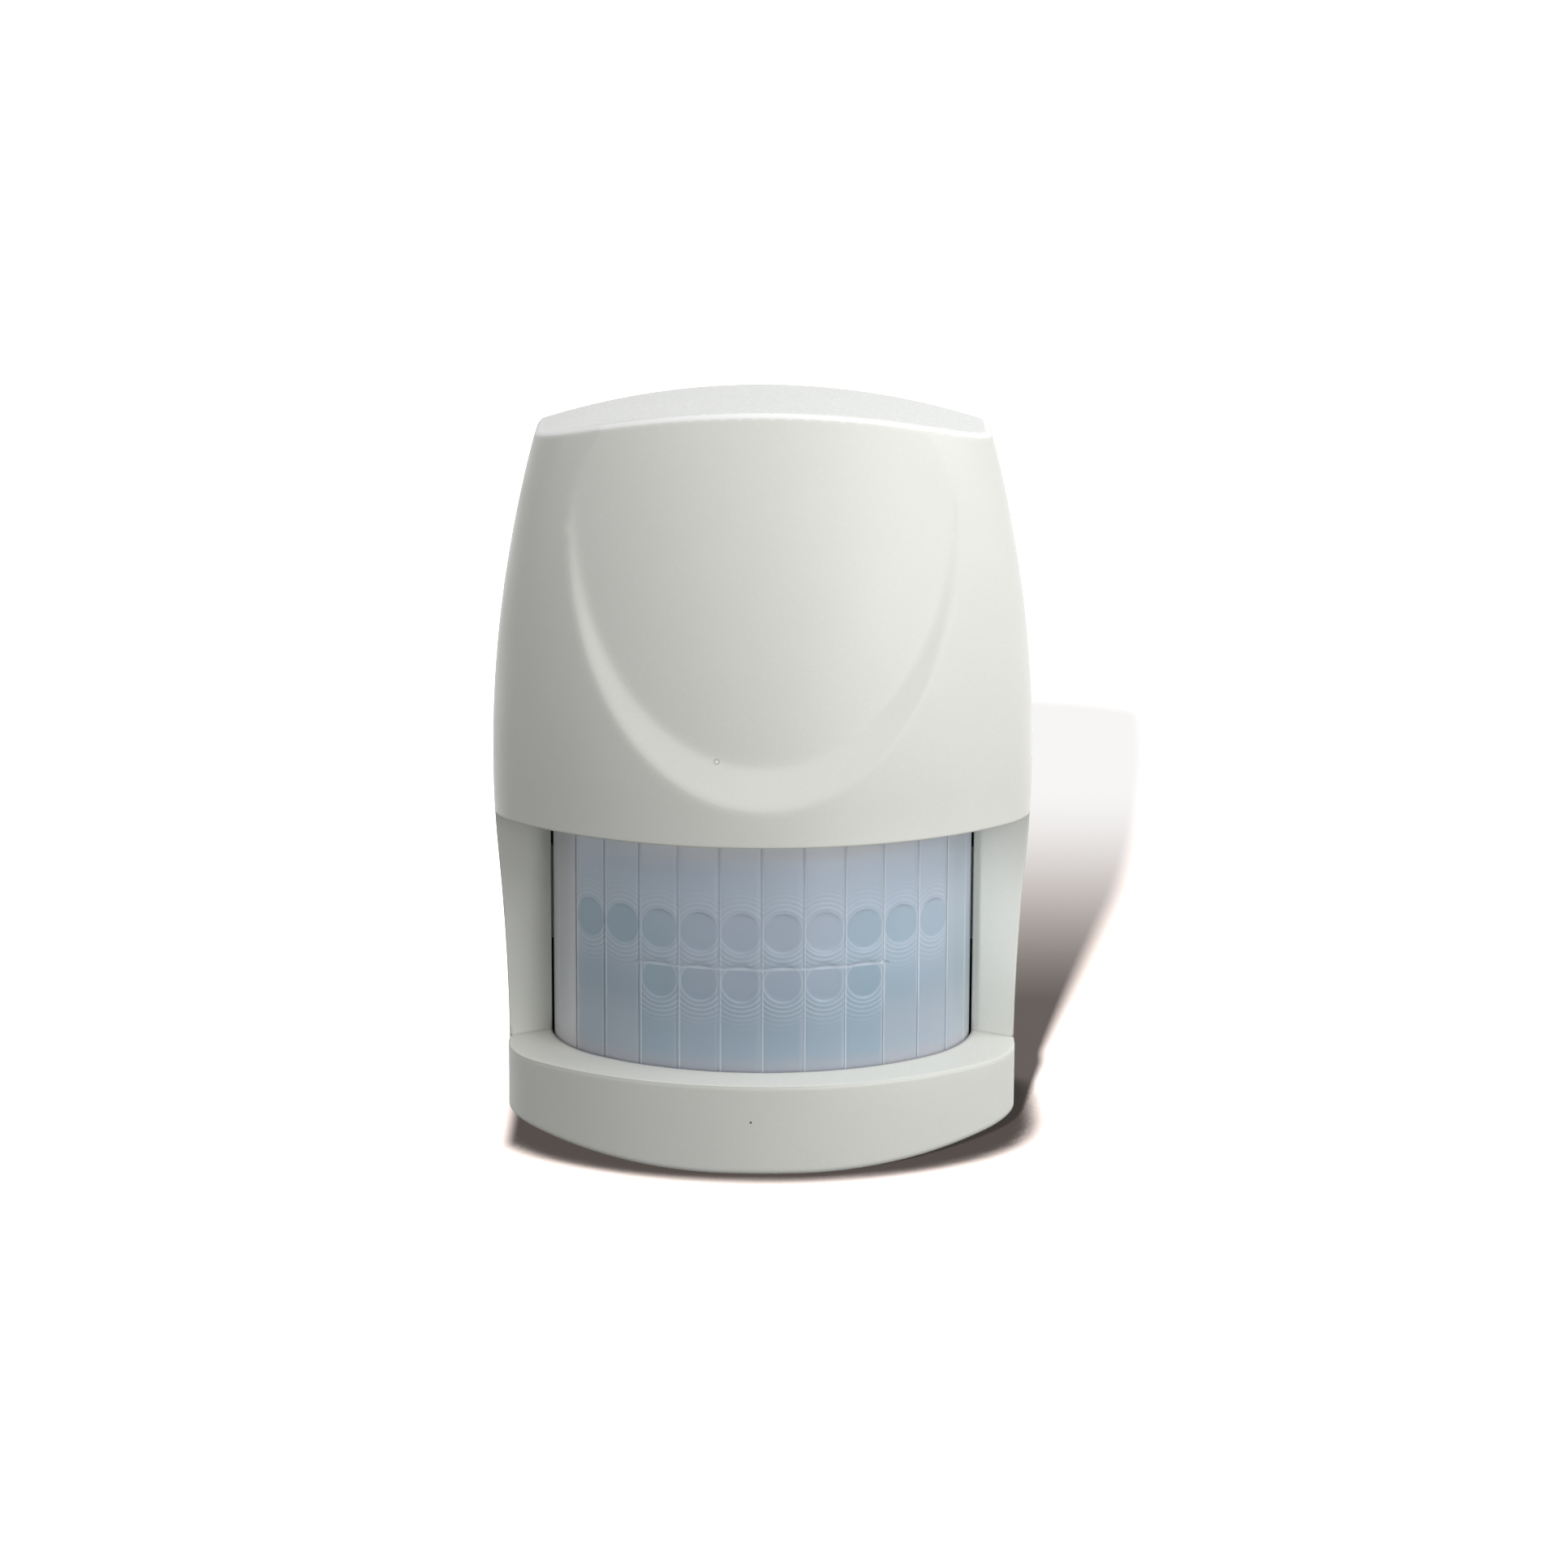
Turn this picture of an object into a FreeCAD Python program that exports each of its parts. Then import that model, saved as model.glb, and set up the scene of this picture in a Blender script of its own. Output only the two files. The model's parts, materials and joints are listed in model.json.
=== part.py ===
import FreeCAD, Part
import math
import os
import re
import Sketcher
from FreeCAD import Placement, Rotation, Vector

# Motion detector for a wall, in millimetres. +Z is up and the front faces -Y.
# Pieces are described by their depth from the wall plane. The origin is the middle of the
# footprint that the detector stands on, tamper plunger included.

SIZES = {
    # outer form of the two covers
    "body_width": 67.0,
    "body_depth": 41.5,
    "body_height": 91.4,
    "widest_drop": 43.4,
    "side_radius": 150.0,
    "base_narrowing": 1.75,
    "base_side_height": 8.0,
    "top_radius": 92.0,
    "foot_width": 10.0,
    "foot_arch_radius": 110.0,
    "front_bulge": 17.362,
    "lean_radius": 84.0,
    "lean_drop": 46.4,
    "corner_radius": 12.0,
    "rim_radius": 1.8,
    "wall": 2.0,
    # scoop in the hood: a flat sloping cut, and the bulged floor that rises through it
    "scoop_drop": 46.2,
    "scoop_slope": 0.455,
    "floor_setback": 1.95,
    "floor_bulge": 13.24,
    "floor_lean_radius": 101.5,
    "floor_lean_drop": 49.8,
    # hollow of the front cover behind the hood
    "hollow_setback": 4.5,
    "hollow_margin": 3.5,
    "hollow_turn": 15.0,
    "hollow_slope": 0.276,
    # window band
    "ledge_top": 11.0,
    "soffit_drop": 50.6,
    "cheek_width": 7.18,
    "cheek_step": 1.4,
    "cheek_slope": 0.6,
    # lens
    "lens_depth": 35.0,
    "lens_turn": 40.0,
    "lens_side_radius": 17.0,
    "lens_thickness": 0.6,
    "lens_overlap": 2.4,
    "lens_clearance": 0.3,
    "lens_pitch": 5.2,
    "row_drop": 4.5,
    "lens_groove": 0.12,
    "lens_groove_width": 0.3,
    "upper_disc_radius": 2.5,
    "lower_disc_drop": 6.3,
    "lower_disc_radius": 2.4,
    "frame_thickness": 1.6,
    "frame_rail": 1.6,
    "frame_window_step": 3.4,
    "frame_tail": 2.2,
    "ear_length": 3.0,
    # rear cover
    "floor_thickness": 2.0,
    "seat_gap": 0.2,
    "flange_inset": 0.3,
    "lip_clearance": 0.2,
    "lip_thickness": 1.5,
    "lip_front": 8.0,
    "wall_hole_radius": 2.1,
    "wall_hole_offset": 16.0,
    "wall_hole_drop": 8.5,
    # board and what stands on it
    "board_margin": 6.5,
    "board_clearance": 0.4,
    "board_gap": 1.15,
    "board_standoff": 3.0,
    "board_thickness": 1.6,
    "post_width": 4.6,
    "post_margin": 4.2,
    "post_low": 14.0,
    "post_drop": 3.6,
    "screw_radius": 1.1,
    "screw_head_radius": 1.9,
    "screw_head_height": 1.3,
    "screw_end_gap": 0.4,
    "sensor_rise": 2.6,
    "spacer_radius": 4.9,
    "spacer_height": 3.0,
    "sensor_base_radius": 4.6,
    "sensor_base_height": 0.8,
    "can_radius": 4.1,
    "can_height": 3.6,
    "can_wall": 0.3,
    "sensor_window_width": 4.0,
    "sensor_window_height": 3.0,
    "top_row_drop": 4.3,
    "led_across": 7.5,
    "led_radius": 1.5,
    "led_length": 3.0,
    "led_shoulder": 2.1,
    "led_tip_radius": 0.75,
    "capacitor_radius": 2.0,
    "capacitor_height": 5.4,
    "capacitor_margin": 5.5,
    "capacitor_pitch": 5.0,
    "control_chip_margin": 14.6,
    "control_chip_up": 24.0,
    "control_chip_width": 7.0,
    "control_chip_length": 7.0,
    "control_chip_thickness": 1.2,
    "amplifier_chip_across": -8.5,
    "amplifier_chip_width": 5.0,
    "amplifier_chip_length": 4.0,
    "amplifier_chip_thickness": 1.4,
    "crystal_margin": 6.6,
    "crystal_up": 24.0,
    "crystal_width": 2.6,
    "crystal_length": 6.4,
    "crystal_thickness": 2.0,
    "radio_margin": 9.5,
    "radio_board_up": 27.0,
    "radio_board_width": 11.0,
    "radio_board_length": 16.0,
    "radio_board_thickness": 0.8,
    "radio_shield_up": 26.0,
    "radio_shield_width": 9.4,
    "radio_shield_length": 11.0,
    "radio_shield_thickness": 1.8,
    "jumper_across": -0.5,
    "jumper_header_width": 5.2,
    "jumper_header_length": 2.6,
    "jumper_header_thickness": 2.5,
    "jumper_cap_width": 5.0,
    "jumper_cap_length": 2.4,
    "jumper_cap_thickness": 4.0,
    "strip_margin": 2.4,
    "strip_foot_height": 18.0,
    "strip_width": 1.2,
    "strip_thickness": 0.4,
    "strip_rise": 2.4,
    "strip_length": 17.0,
    # moving pieces
    "tamper_reach": 1.2,
    "tamper_offset": 10.0,
    "tamper_height": 24.0,
    "plunger_radius": 1.4,
    "collar_radius": 2.2,
    "collar_thickness": 0.9,
    "slide_clearance": 0.25,
    "tamper_housing": 6.4,
    "button_margin": 5.8,
    "button_height": 13.0,
    "button_radius": 1.55,
    "button_rise": 1.5,
    "button_play": 0.1,
    "switch_lid": 0.6,
    "switch_floor": 1.0,
    "switch_width": 6.0,
    "switch_height": 3.6,
    # power
    "cell_radius": 5.25,
    "cell_length": 44.5,
    "nub_radius": 1.9,
    "nub_length": 1.0,
    "cell_pitch": 11.1,
    "cell_drop": 28.0,
    "cell_gap": 0.25,
    "holder_floor": 1.4,
    "holder_wall": 1.6,
    "holder_wall_height": 8.9,
    "ridge_height": 2.9,
    "ridge_foot": 2.0,
    "ridge_crest": 0.35,
    "ridge_length": 29.6,
    "contact_thickness": 0.4,
    "contact_size": 8.0,
    "spring_length": 2.0,
    "leaf_width": 3.2,
    "leaf_reach": 3.2,
    "leaf_thickness": 0.4,
    "leaf_crown": 0.7,
    # screw through the sole
    "case_screw_depth": 5.0,
    "case_screw_radius": 1.4,
    "case_head_radius": 2.5,
    "case_head_height": 1.1,
    "case_recess_depth": 1.1,
    "slot_width": 0.6,
    "slot_depth": 0.5,
    "case_screw_top": 9.0,
    "boss_width": 6.6,
    "boss_top": 10.4,
}

# Sizes that follow from the ones above. The hood, cells and wall screws keep their distance
# from the top, and the window with the lens and the sensor lies between ledge and hood.
FOLLOWING = {
    "front_radius": "(body_width ^ 2 / 4 + front_bulge ^ 2) / (2 * front_bulge)",
    "floor_radius": "(body_width ^ 2 / 4 + floor_bulge ^ 2) / (2 * floor_bulge)",
    "floor_depth": "body_depth - floor_setback",
    "hollow_radius": "body_width / 2 + hollow_margin",
    "hollow_depth": "body_depth - hollow_setback",
    "widest_height": "body_height - widest_drop",
    "lean_height": "body_height - lean_drop",
    "scoop_foot": "body_height - scoop_drop",
    "floor_lean_height": "body_height - floor_lean_drop",
    "soffit_bottom": "body_height - soffit_drop",
    "lens_half": "body_width / 2 - cheek_width",
    "lens_radius": "lens_side_radius + (lens_half - lens_side_radius) / sin(lens_turn * 1deg)",
    "lens_side_depth": "lens_depth - lens_side_radius"
    " - (lens_half - lens_side_radius) * tan(lens_turn / 2 * 1deg)",
    "cheek_depth": "lens_side_depth + cheek_step",
    "frame_post_depth": "lens_side_depth + frame_window_step",
    "frame_back": "lens_side_depth - frame_tail",
    "lens_bottom": "ledge_top - lens_overlap",
    "lens_top": "soffit_bottom + lens_overlap",
    "sensor_height": "(ledge_top + soffit_bottom) / 2 + sensor_rise",
    "lens_row_height": "sensor_height - row_drop",
    "lower_disc_height": "sensor_height - lower_disc_drop",
    "wall_hole_height": "body_height - wall_hole_drop",
    "cell_height": "body_height - cell_drop",
    "board_width": "body_width - 2 * board_margin",
    "board_top": "cell_height - 1.5 * cell_pitch - board_gap",
    "board_bottom": "foot_arch_radius + board_clearance"
    " - sqrt((foot_arch_radius - wall - lip_clearance - lip_thickness) ^ 2"
    " - (board_width / 2 - foot_width / 2) ^ 2)",
    "post_offset": "board_width / 2 - post_margin",
    "post_high": "board_top - post_drop",
    "top_row_height": "board_top - top_row_drop",
    "button_offset": "post_offset - button_margin",
    "control_chip_across": "board_width / 2 - control_chip_margin",
    "crystal_across": "board_width / 2 - crystal_margin",
    "radio_across": "radio_margin - board_width / 2",
    "holder_half": "cell_length / 2 + contact_thickness + spring_length / 2 + holder_wall",
    "holder_bottom": "cell_height - 1.5 * cell_pitch",
    "holder_top": "cell_height + 1.5 * cell_pitch",
}

doc = FreeCAD.newDocument("motion_detector")
sheet = doc.addObject("Spreadsheet::Sheet", "Sizes")
for row, (alias, number) in enumerate(SIZES.items(), start=1):
    sheet.set(f"A{row}", alias)
    sheet.set(f"B{row}", str(number))
    sheet.setAlias(f"B{row}", alias)
for row, (alias, rule) in enumerate(FOLLOWING.items(), start=len(SIZES) + 1):
    sheet.set(f"A{row}", alias)
    sheet.set(f"B{row}", "=" + rule)
    sheet.setAlias(f"B{row}", alias)
doc.recompute()

UP = Vector(0, 0, 1)
FORWARD = Rotation(Vector(1, 0, 0), 90)
TURNS = {"up": Rotation(), "forward": FORWARD, "right": Rotation(Vector(0, 1, 0), 90)}
TURNS["left"] = Rotation(Vector(0, 1, 0), -90)
WALL_PLANE = "(body_depth - tamper_reach) / 2"

BOARD_BACK = "(floor_thickness + board_standoff)"
BOARD_FRONT = "(floor_thickness + board_standoff + board_thickness)"

nodes = {}
depths = {}


def formula(text):
    """The text with each size name made into a reference to the sheet."""
    def named(word):
        known = word[0] in SIZES or word[0] in FOLLOWING
        return "Sizes." + word[0] if known else word[0]

    return re.sub(r"[a-z]\w*", named, str(text))


def value(text):
    return float(sheet.evalExpression(formula(text)))


def add(kind, name, **properties):
    item = doc.addObject(kind, name)
    for key, content in properties.items():
        setattr(item, key, content)
    return item


def bind(item, **formulas):
    for key, text in formulas.items():
        item.setExpression(key.replace("__", "."), formula(text))
    return item


def place(item, x, depth, z, turn="up"):
    """Sets an item at a distance across, a depth from the wall plane and a height."""
    item.Placement = Placement(Vector(0, 0, 0), TURNS[turn])
    depths[item.Name] = depth
    return bind(item, Placement__Base__x=x, Placement__Base__y=f"-({depth})", Placement__Base__z=z)


def node(name, item):
    """Names a finished piece and moves it from the wall plane into the part's own frame."""
    item.Label = name
    bind(item, Placement__Base__y=f"{WALL_PLANE} - ({depths.get(item.Name, 0)})")
    nodes[name] = item
    return item


# Solids


def block(name, x, depth, z):
    """Straight-sided block; each pair gives the near and the far side."""
    item = add("Part::Box", name)
    across, through, upward = (f"({far}) - ({near})" for near, far in (x, depth, z))
    bind(item, Length=across, Width=through, Height=upward)
    return place(item, x[0], depth[1], z[0])


def rod(name, radius, x, depth, z, length, turn="forward"):
    item = bind(add("Part::Cylinder", name), Radius=radius, Height=length)
    return place(item, x, depth, z, turn)


def cut(name, base, *tools):
    tool = tools[0] if len(tools) == 1 else fuse(name + "_tools", *tools)
    return add("Part::Cut", name, Base=base, Tool=tool)


def fuse(name, *items):
    return add("Part::MultiFuse", name, Shapes=list(items))


def common(name, *items):
    return add("Part::MultiCommon", name, Shapes=list(items))


def group(name, *items):
    return add("Part::Compound", name, Links=list(items))


def prism(name, sketch, length, direction=Vector(0, -1, 0)):
    solid = add("Part::Extrusion", name, Base=sketch, Solid=True)
    solid.DirMode = "Custom"
    solid.Dir = direction
    return bind(solid, LengthFwd=length)


def sketch_at(name, x, depth, z, turn="up"):
    return place(add("Sketcher::SketchObject", name), x, depth, z, turn)


# Sketches


def join_ends(sketch):
    """Ties the ends of neighbouring curves together, whichever way each one runs."""
    count = sketch.GeometryCount
    for index in range(count):
        following = (index + 1) % count
        pairs = [(a, b) for a in (1, 2) for b in (1, 2)]
        near = min(
            pairs,
            key=lambda pair: sketch.getPoint(index, pair[0]).distanceToPoint(
                sketch.getPoint(following, pair[1])
            ),
        )
        sketch.addConstraint(
            Sketcher.Constraint("Coincident", index, near[0], following, near[1])
        )


def draw(sketch, curves, radii=None):
    """Fills a sketch with one closed outline; radii binds named radii to the sheet."""
    sketch.addGeometry(curves, False)
    join_ends(sketch)
    for label, (index, text) in (radii or {}).items():
        radius = sketch.Geometry[index].Radius
        number = sketch.addConstraint(Sketcher.Constraint("Radius", index, radius))
        sketch.renameConstraint(number, label)
        sketch.setExpression("Constraints." + label, formula(text))
    return sketch


def polygon(sketch, corners):
    """Closed straight-sided outline; every corner is a pair of formulas."""
    points = [(value(x), value(z), 0) for x, z in corners]
    for index, point in enumerate(points):
        sketch.addGeometry(line(point, points[(index + 1) % len(points)]), False)
    for index in range(len(points)):
        following = (index + 1) % len(points)
        sketch.addConstraint(Sketcher.Constraint("Coincident", index, 2, following, 1))
    for index, corner in enumerate(corners):
        for kind, text in zip(("DistanceX", "DistanceY"), corner):
            rule = Sketcher.Constraint(kind, -1, 1, index, 1, value(text))
            number = sketch.addConstraint(rule)
            sketch.setExpression(f"Constraints[{number}]", formula(text))
    return sketch


def line(start, end):
    return Part.LineSegment(Vector(*start), Vector(*end))


def arc(centre, radius, start_angle, end_angle):
    """Arc in the sketch plane, angles in degrees, running anticlockwise."""
    circle = Part.Circle(Vector(*centre), UP, radius)
    return Part.ArcOfCircle(circle, math.radians(start_angle), math.radians(end_angle))


def angle_to(centre, point):
    return math.degrees(math.atan2(point[1] - centre[1], point[0] - centre[0]))


def body_sketch(body, name, role):
    """Sketch on one of the body's own origin planes."""
    sketch = body.newObject("Sketcher::SketchObject", name)
    plane = next(item for item in body.Origin.OriginFeatures if item.Role == role)
    sketch.AttachmentSupport = [(plane, "")]
    sketch.MapMode = "FlatFace"
    return sketch


def turned(name, corners, x, depth, z, turn="forward"):
    """Round piece turned about its own axis from corners of (radius, distance along)."""
    body = add("PartDesign::Body", name)
    sketch = polygon(body_sketch(body, name + "_profile", "XZ_Plane"), corners)
    feature = body.newObject("PartDesign::Revolution", name + "_turning")
    feature.Profile = sketch
    feature.ReferenceAxis = (sketch, ["V_Axis"])
    return place(body, x, depth, z, turn)


def plate(name, corners, thickness, x, depth, z, holes=()):
    """Flat plate facing forward with round holes of (radius, across, height)."""
    body = add("PartDesign::Body", name)
    sketch = polygon(body_sketch(body, name + "_outline", "XY_Plane"), corners)
    pad = body.newObject("PartDesign::Pad", name + "_pad")
    pad.Profile = sketch
    bind(pad, Length=thickness)
    for index, (radius, across, height) in enumerate(holes):
        circle = body_sketch(body, f"{name}_hole_{index}", "XY_Plane")
        centre = Vector(value(across), value(height), 0)
        circle.addGeometry(Part.Circle(centre, UP, value(radius)), False)
        rules = (
            Sketcher.Constraint("Radius", 0, value(radius)),
            Sketcher.Constraint("DistanceX", -1, 1, 0, 3, centre.x),
            Sketcher.Constraint("DistanceY", -1, 1, 0, 3, centre.y),
        )
        for rule, text in zip(rules, (radius, across, height)):
            number = circle.addConstraint(rule)
            circle.setExpression(f"Constraints[{number}]", formula(text))
        pocket = body.newObject("PartDesign::Pocket", f"{name}_drilling_{index}")
        pocket.Profile = circle
        pocket.Type = "ThroughAll"
        pocket.Reversed = True
    return place(body, x, depth, z, "forward")


def chosen_edges(item, test):
    """Numbers of the edges whose middle point passes the test."""
    doc.recompute()
    chosen = []
    for number, edge in enumerate(item.Shape.Edges, start=1):
        middle = edge.valueAt((edge.FirstParameter + edge.LastParameter) / 2)
        if test(middle, edge):
            chosen.append(number)
    return chosen


def rounded(name, item, radius, test):
    """Fillet on the edges that pass the test."""
    numbers = chosen_edges(item, test)
    fillet = add("Part::Fillet", name, Base=item)
    fillet.Edges = [(number, value(radius), value(radius)) for number in numbers]
    return fillet


# Outer form


def circles_meet(first, first_radius, second, second_radius):
    """The upper of the two points where two circles cross."""
    dx, dz = second[0] - first[0], second[1] - first[1]
    gap = math.hypot(dx, dz)
    along = (gap**2 + first_radius**2 - second_radius**2) / (2 * gap)
    aside = math.sqrt(first_radius**2 - along**2)
    points = [
        (
            first[0] + (dx * along - side * dz * aside) / gap,
            first[1] + (dz * along + side * dx * aside) / gap,
        )
        for side in (1, -1)
    ]
    return max(points, key=lambda point: point[1])


def mirrored(curve):
    """The same curve on the other side of the middle plane."""
    if isinstance(curve, Part.LineSegment):
        start, end = curve.StartPoint, curve.EndPoint
        return line((-start.x, start.y, 0), (-end.x, end.y, 0))
    start, end = math.degrees(curve.FirstParameter), math.degrees(curve.LastParameter)
    return arc((-curve.Center.x, curve.Center.y), curve.Radius, 180 - end, 180 - start)


def side_curves(inset):
    """Right-hand side of the front outline: the bulging arc, the hollow arc below it that
    it meets at a tangent, and the angle at which they meet."""
    half, bulge = value("body_width") / 2, value("side_radius")
    low, high = value("base_side_height"), value("widest_height")
    narrowing = value("base_narrowing")
    reach = (narrowing**2 + (high - low) ** 2) / (2 * narrowing)
    hollow = reach - bulge
    bulge_centre = (half - bulge, high)
    hollow_centre = (half - narrowing + hollow, low)
    turn = math.degrees(math.atan2(high - low, reach - narrowing))
    return bulge_centre, bulge - inset, hollow_centre, hollow + inset, turn


def front_outline(name, inset_text, depth):
    """Front view of the body, drawn inset from its skin, at a depth from the wall."""
    inset = value(inset_text)
    bulge_centre, bulge, hollow_centre, hollow, turn = side_curves(inset)
    top_centre = (0, value("body_height - top_radius"))
    top = value("top_radius") - inset
    corner = circles_meet(top_centre, top, bulge_centre, bulge)
    foot = value("foot_width") / 2
    foot_centre = (foot, value("foot_arch_radius"))
    arch = value("foot_arch_radius") - inset
    edge = hollow_centre[0] - hollow
    heel = (edge, foot_centre[1] - math.sqrt(arch**2 - (edge - foot) ** 2))
    shoulder = (edge, hollow_centre[1])

    right = [
        arc(foot_centre, arch, 270, 360 + angle_to(foot_centre, heel)),
        line((*heel, 0), (*shoulder, 0)),
        arc(hollow_centre, hollow, 180 - turn, 180),
        arc(bulge_centre, bulge, -turn, angle_to(bulge_centre, corner)),
    ]
    left = [mirrored(curve) for curve in reversed(right)]
    half_turn = angle_to(top_centre, corner)
    across = arc(top_centre, top, half_turn, 180 - half_turn)
    sole = line((-foot, inset, 0), (foot, inset, 0))
    radii = {
        "side_bulge": (3, f"side_radius - ({inset_text})"),
        "top_arch": (4, f"top_radius - ({inset_text})"),
    }
    sketch = sketch_at(name, "0", depth, "0", "forward")
    return draw(sketch, right + [across] + left + [sole], radii)


def tube(name, inset, back, front):
    """Straight-sided form with the front outline between two depths."""
    outline = front_outline(name + "_outline", inset, back)
    return prism(name, outline, f"({front}) - ({back})")


def plan_arc(name, radius_text, depth_text, height_text, back_depth):
    """Plan view with a bulged front of one radius, straight sides and a straight back."""
    radius, depth = value(radius_text), value(depth_text)
    reach = value("body_width / 2 + wall")
    spread = math.degrees(math.asin(reach / radius))
    centre = (0, radius - depth)
    side = centre[1] - math.sqrt(radius**2 - reach**2)
    back = -value(back_depth)
    curves = [
        arc(centre, radius, 270 - spread, 270 + spread),
        line((reach, side, 0), (reach, back, 0)),
        line((reach, back, 0), (-reach, back, 0)),
        line((-reach, back, 0), (-reach, side, 0)),
    ]
    return draw(sketch_at(name, "0", "0", height_text), curves, {"front": (0, radius_text)})


def barrel(name, radius, lean_radius, depth, lean_height):
    """Bulged form: a plan view swung backwards above the lean height and straight below."""
    plan = plan_arc(name + "_plan", radius, depth, lean_height, f"{depth} - {lean_radius}")
    upper = add("Part::Revolution", name + "_upper", Source=plan, Angle=90, Solid=True)
    upper.Axis = Vector(-1, 0, 0)
    bind(upper, Base__y=f"{lean_radius} - {depth}", Base__z=lean_height)
    lower = prism(name + "_lower", plan, lean_height, Vector(0, 0, -1))
    return fuse(name, upper, lower)


def side_profile(name, corners):
    """Prism right across the body from a side view whose corners are (depth, height)."""
    sketch = sketch_at(name + "_profile", "-body_width", "0", "0", "left")
    polygon(sketch, [(height, f"-({depth})") for depth, height in corners])
    return prism(name, sketch, "2 * body_width", Vector(1, 0, 0))


# Front cover


def scoop():
    """What the scoop takes away: all in front of a sloping plane but not of the floor."""
    low, high = "lean_height - 1", "body_height + 5"
    corners = [
        (f"body_depth - scoop_slope * ({low} - scoop_foot)", low),
        ("body_depth + 5", low),
        ("body_depth + 5", high),
        (f"body_depth - scoop_slope * ({high} - scoop_foot)", high),
    ]
    front = side_profile("scoop_front", corners)
    floor = barrel(
        "scoop_floor", "floor_radius", "floor_lean_radius", "floor_depth", "floor_lean_height"
    )
    return cut("scoop", front, floor)


def cover_hollow():
    """Inside of the front cover: straight low down, leaning back behind the hood."""
    inside = tube("inside", "wall", "floor_thickness", "body_depth + wall")
    low_plan = plan_arc("low_plan", "front_radius - wall", "body_depth - wall", "0", "0")
    low = prism("low_hollow", low_plan, "lean_height", UP)
    high_plan = sketch_at("high_plan", "0", "0", "lean_height - 1")
    steps = [f"{count} * hollow_turn * 1deg" for count in (4, 3, 2, 1)]
    front = [
        (f"hollow_radius * sin({turn})", f"hollow_radius * (1 - cos({turn})) - hollow_depth")
        for turn in steps
    ]
    left = [(f"-{x}", y) for x, y in front]
    edges = front[::-1] + [(front[0][0], "0"), (left[0][0], "0")] + left
    polygon(high_plan, edges)
    lean = Vector(0, value("hollow_slope"), 1)
    high = prism("high_hollow", high_plan, "body_height", lean)
    return common("cover_hollow", inside, fuse("hollows", low, high))


def lens_region(name, offset_text, low, high, back):
    """Region inside the lens's outer face, offset outwards, between two heights."""
    offset = value(offset_text)
    main, small = value("lens_radius") + offset, value("lens_side_radius") + offset
    turn = value("lens_turn")
    centre = (0, value("lens_radius - lens_depth"))
    swing = value("lens_radius - lens_side_radius")
    aside = swing * math.sin(math.radians(turn))
    ahead = centre[1] - swing * math.cos(math.radians(turn))
    half, rear = aside + small, -value(back)
    curves = [
        arc((-aside, ahead), small, 180, 270 - turn),
        arc(centre, main, 270 - turn, 270 + turn),
        arc((aside, ahead), small, 270 + turn, 360),
        line((half, ahead, 0), (half, rear, 0)),
        line((half, rear, 0), (-half, rear, 0)),
        line((-half, rear, 0), (-half, ahead, 0)),
    ]
    radii = {
        "middle": (1, f"lens_radius + ({offset_text})"),
        "side": (0, f"lens_side_radius + ({offset_text})"),
    }
    sketch = draw(sketch_at(name + "_plan", "0", "0", low), curves, radii)
    return prism(name, sketch, f"({high}) - ({low})", UP)


def recess_plan(name, back, step, low, high):
    """All in front of the cheeks, between two heights; the cheeks slope forward outwards."""
    inner = "lens_half + lens_clearance"
    outer = "body_width / 2 + wall"
    knee = f"{inner} + ear_length" if step else inner
    sloping = f"cheek_depth - ({back})"
    right = [
        (inner, f"-(cheek_depth - wall * {int(step)})"),
        (knee, f"-({sloping} + cheek_slope * (({knee}) - ({inner})))"),
        (outer, f"-({sloping} + cheek_slope * ({outer} - ({inner})))"),
        (outer, "-(body_depth + wall)"),
    ]
    if step:
        right.insert(1, (knee, "-(cheek_depth - wall)"))
    else:
        right.pop(1)
    left = [(f"-({x})", y) for x, y in reversed(right)]
    sketch = polygon(sketch_at(name + "_plan", "0", "0", low), right + left)
    return prism(name, sketch, f"({high}) - ({low})", UP)


def front_cover():
    """Moulded shell with its scoop, and the window band set back between ledge and soffit."""
    skin = barrel("skin", "front_radius", "lean_radius", "body_depth", "lean_height")
    parting = "floor_thickness + seat_gap"
    whole = common("whole", skin, tube("outside", "0", parting, "body_depth + wall"))

    def front_corner(middle, edge):
        tall = edge.BoundBox.ZLength > edge.BoundBox.XLength
        ahead = -middle.y > value("cheek_depth") / 2
        return tall and ahead and abs(middle.x) > value("body_width / 4")

    corners = rounded("corners", whole, "corner_radius", front_corner)
    scooped = cut("scooped", corners, scoop())

    def top_rim(middle, edge):
        off_back = -middle.y > value(parting) + 0.5
        wide = edge.BoundBox.XLength > edge.BoundBox.ZLength
        return off_back and wide and middle.z > value("body_height - 8")

    form = rounded("soft_top", scooped, "rim_radius", top_rim)

    shell = cut("shell", form, cover_hollow())
    band = recess_plan("band", "wall", True, "ledge_top - wall", "soffit_bottom + wall")
    passage = lens_region("passage", "lens_clearance", "0", "body_height", "floor_thickness")
    band_wall = common("band_wall", cut("band_open", band, passage), form)
    opening = recess_plan("opening", "0", False, "ledge_top", "soffit_bottom")
    screw_hole = rod("sole_hole", "case_screw_radius + slide_clearance", "0", "case_screw_depth",
                     "-1", "wall + 2", "up")
    head_room = rod("sole_recess", "case_head_radius + slide_clearance", "0",
                    "case_screw_depth", "-1", "case_recess_depth + 1", "up")
    filled = fuse("filled", shell, band_wall)
    return cut("front_cover", filled, opening, screw_hole, head_room)


# Lens and its frame


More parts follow.
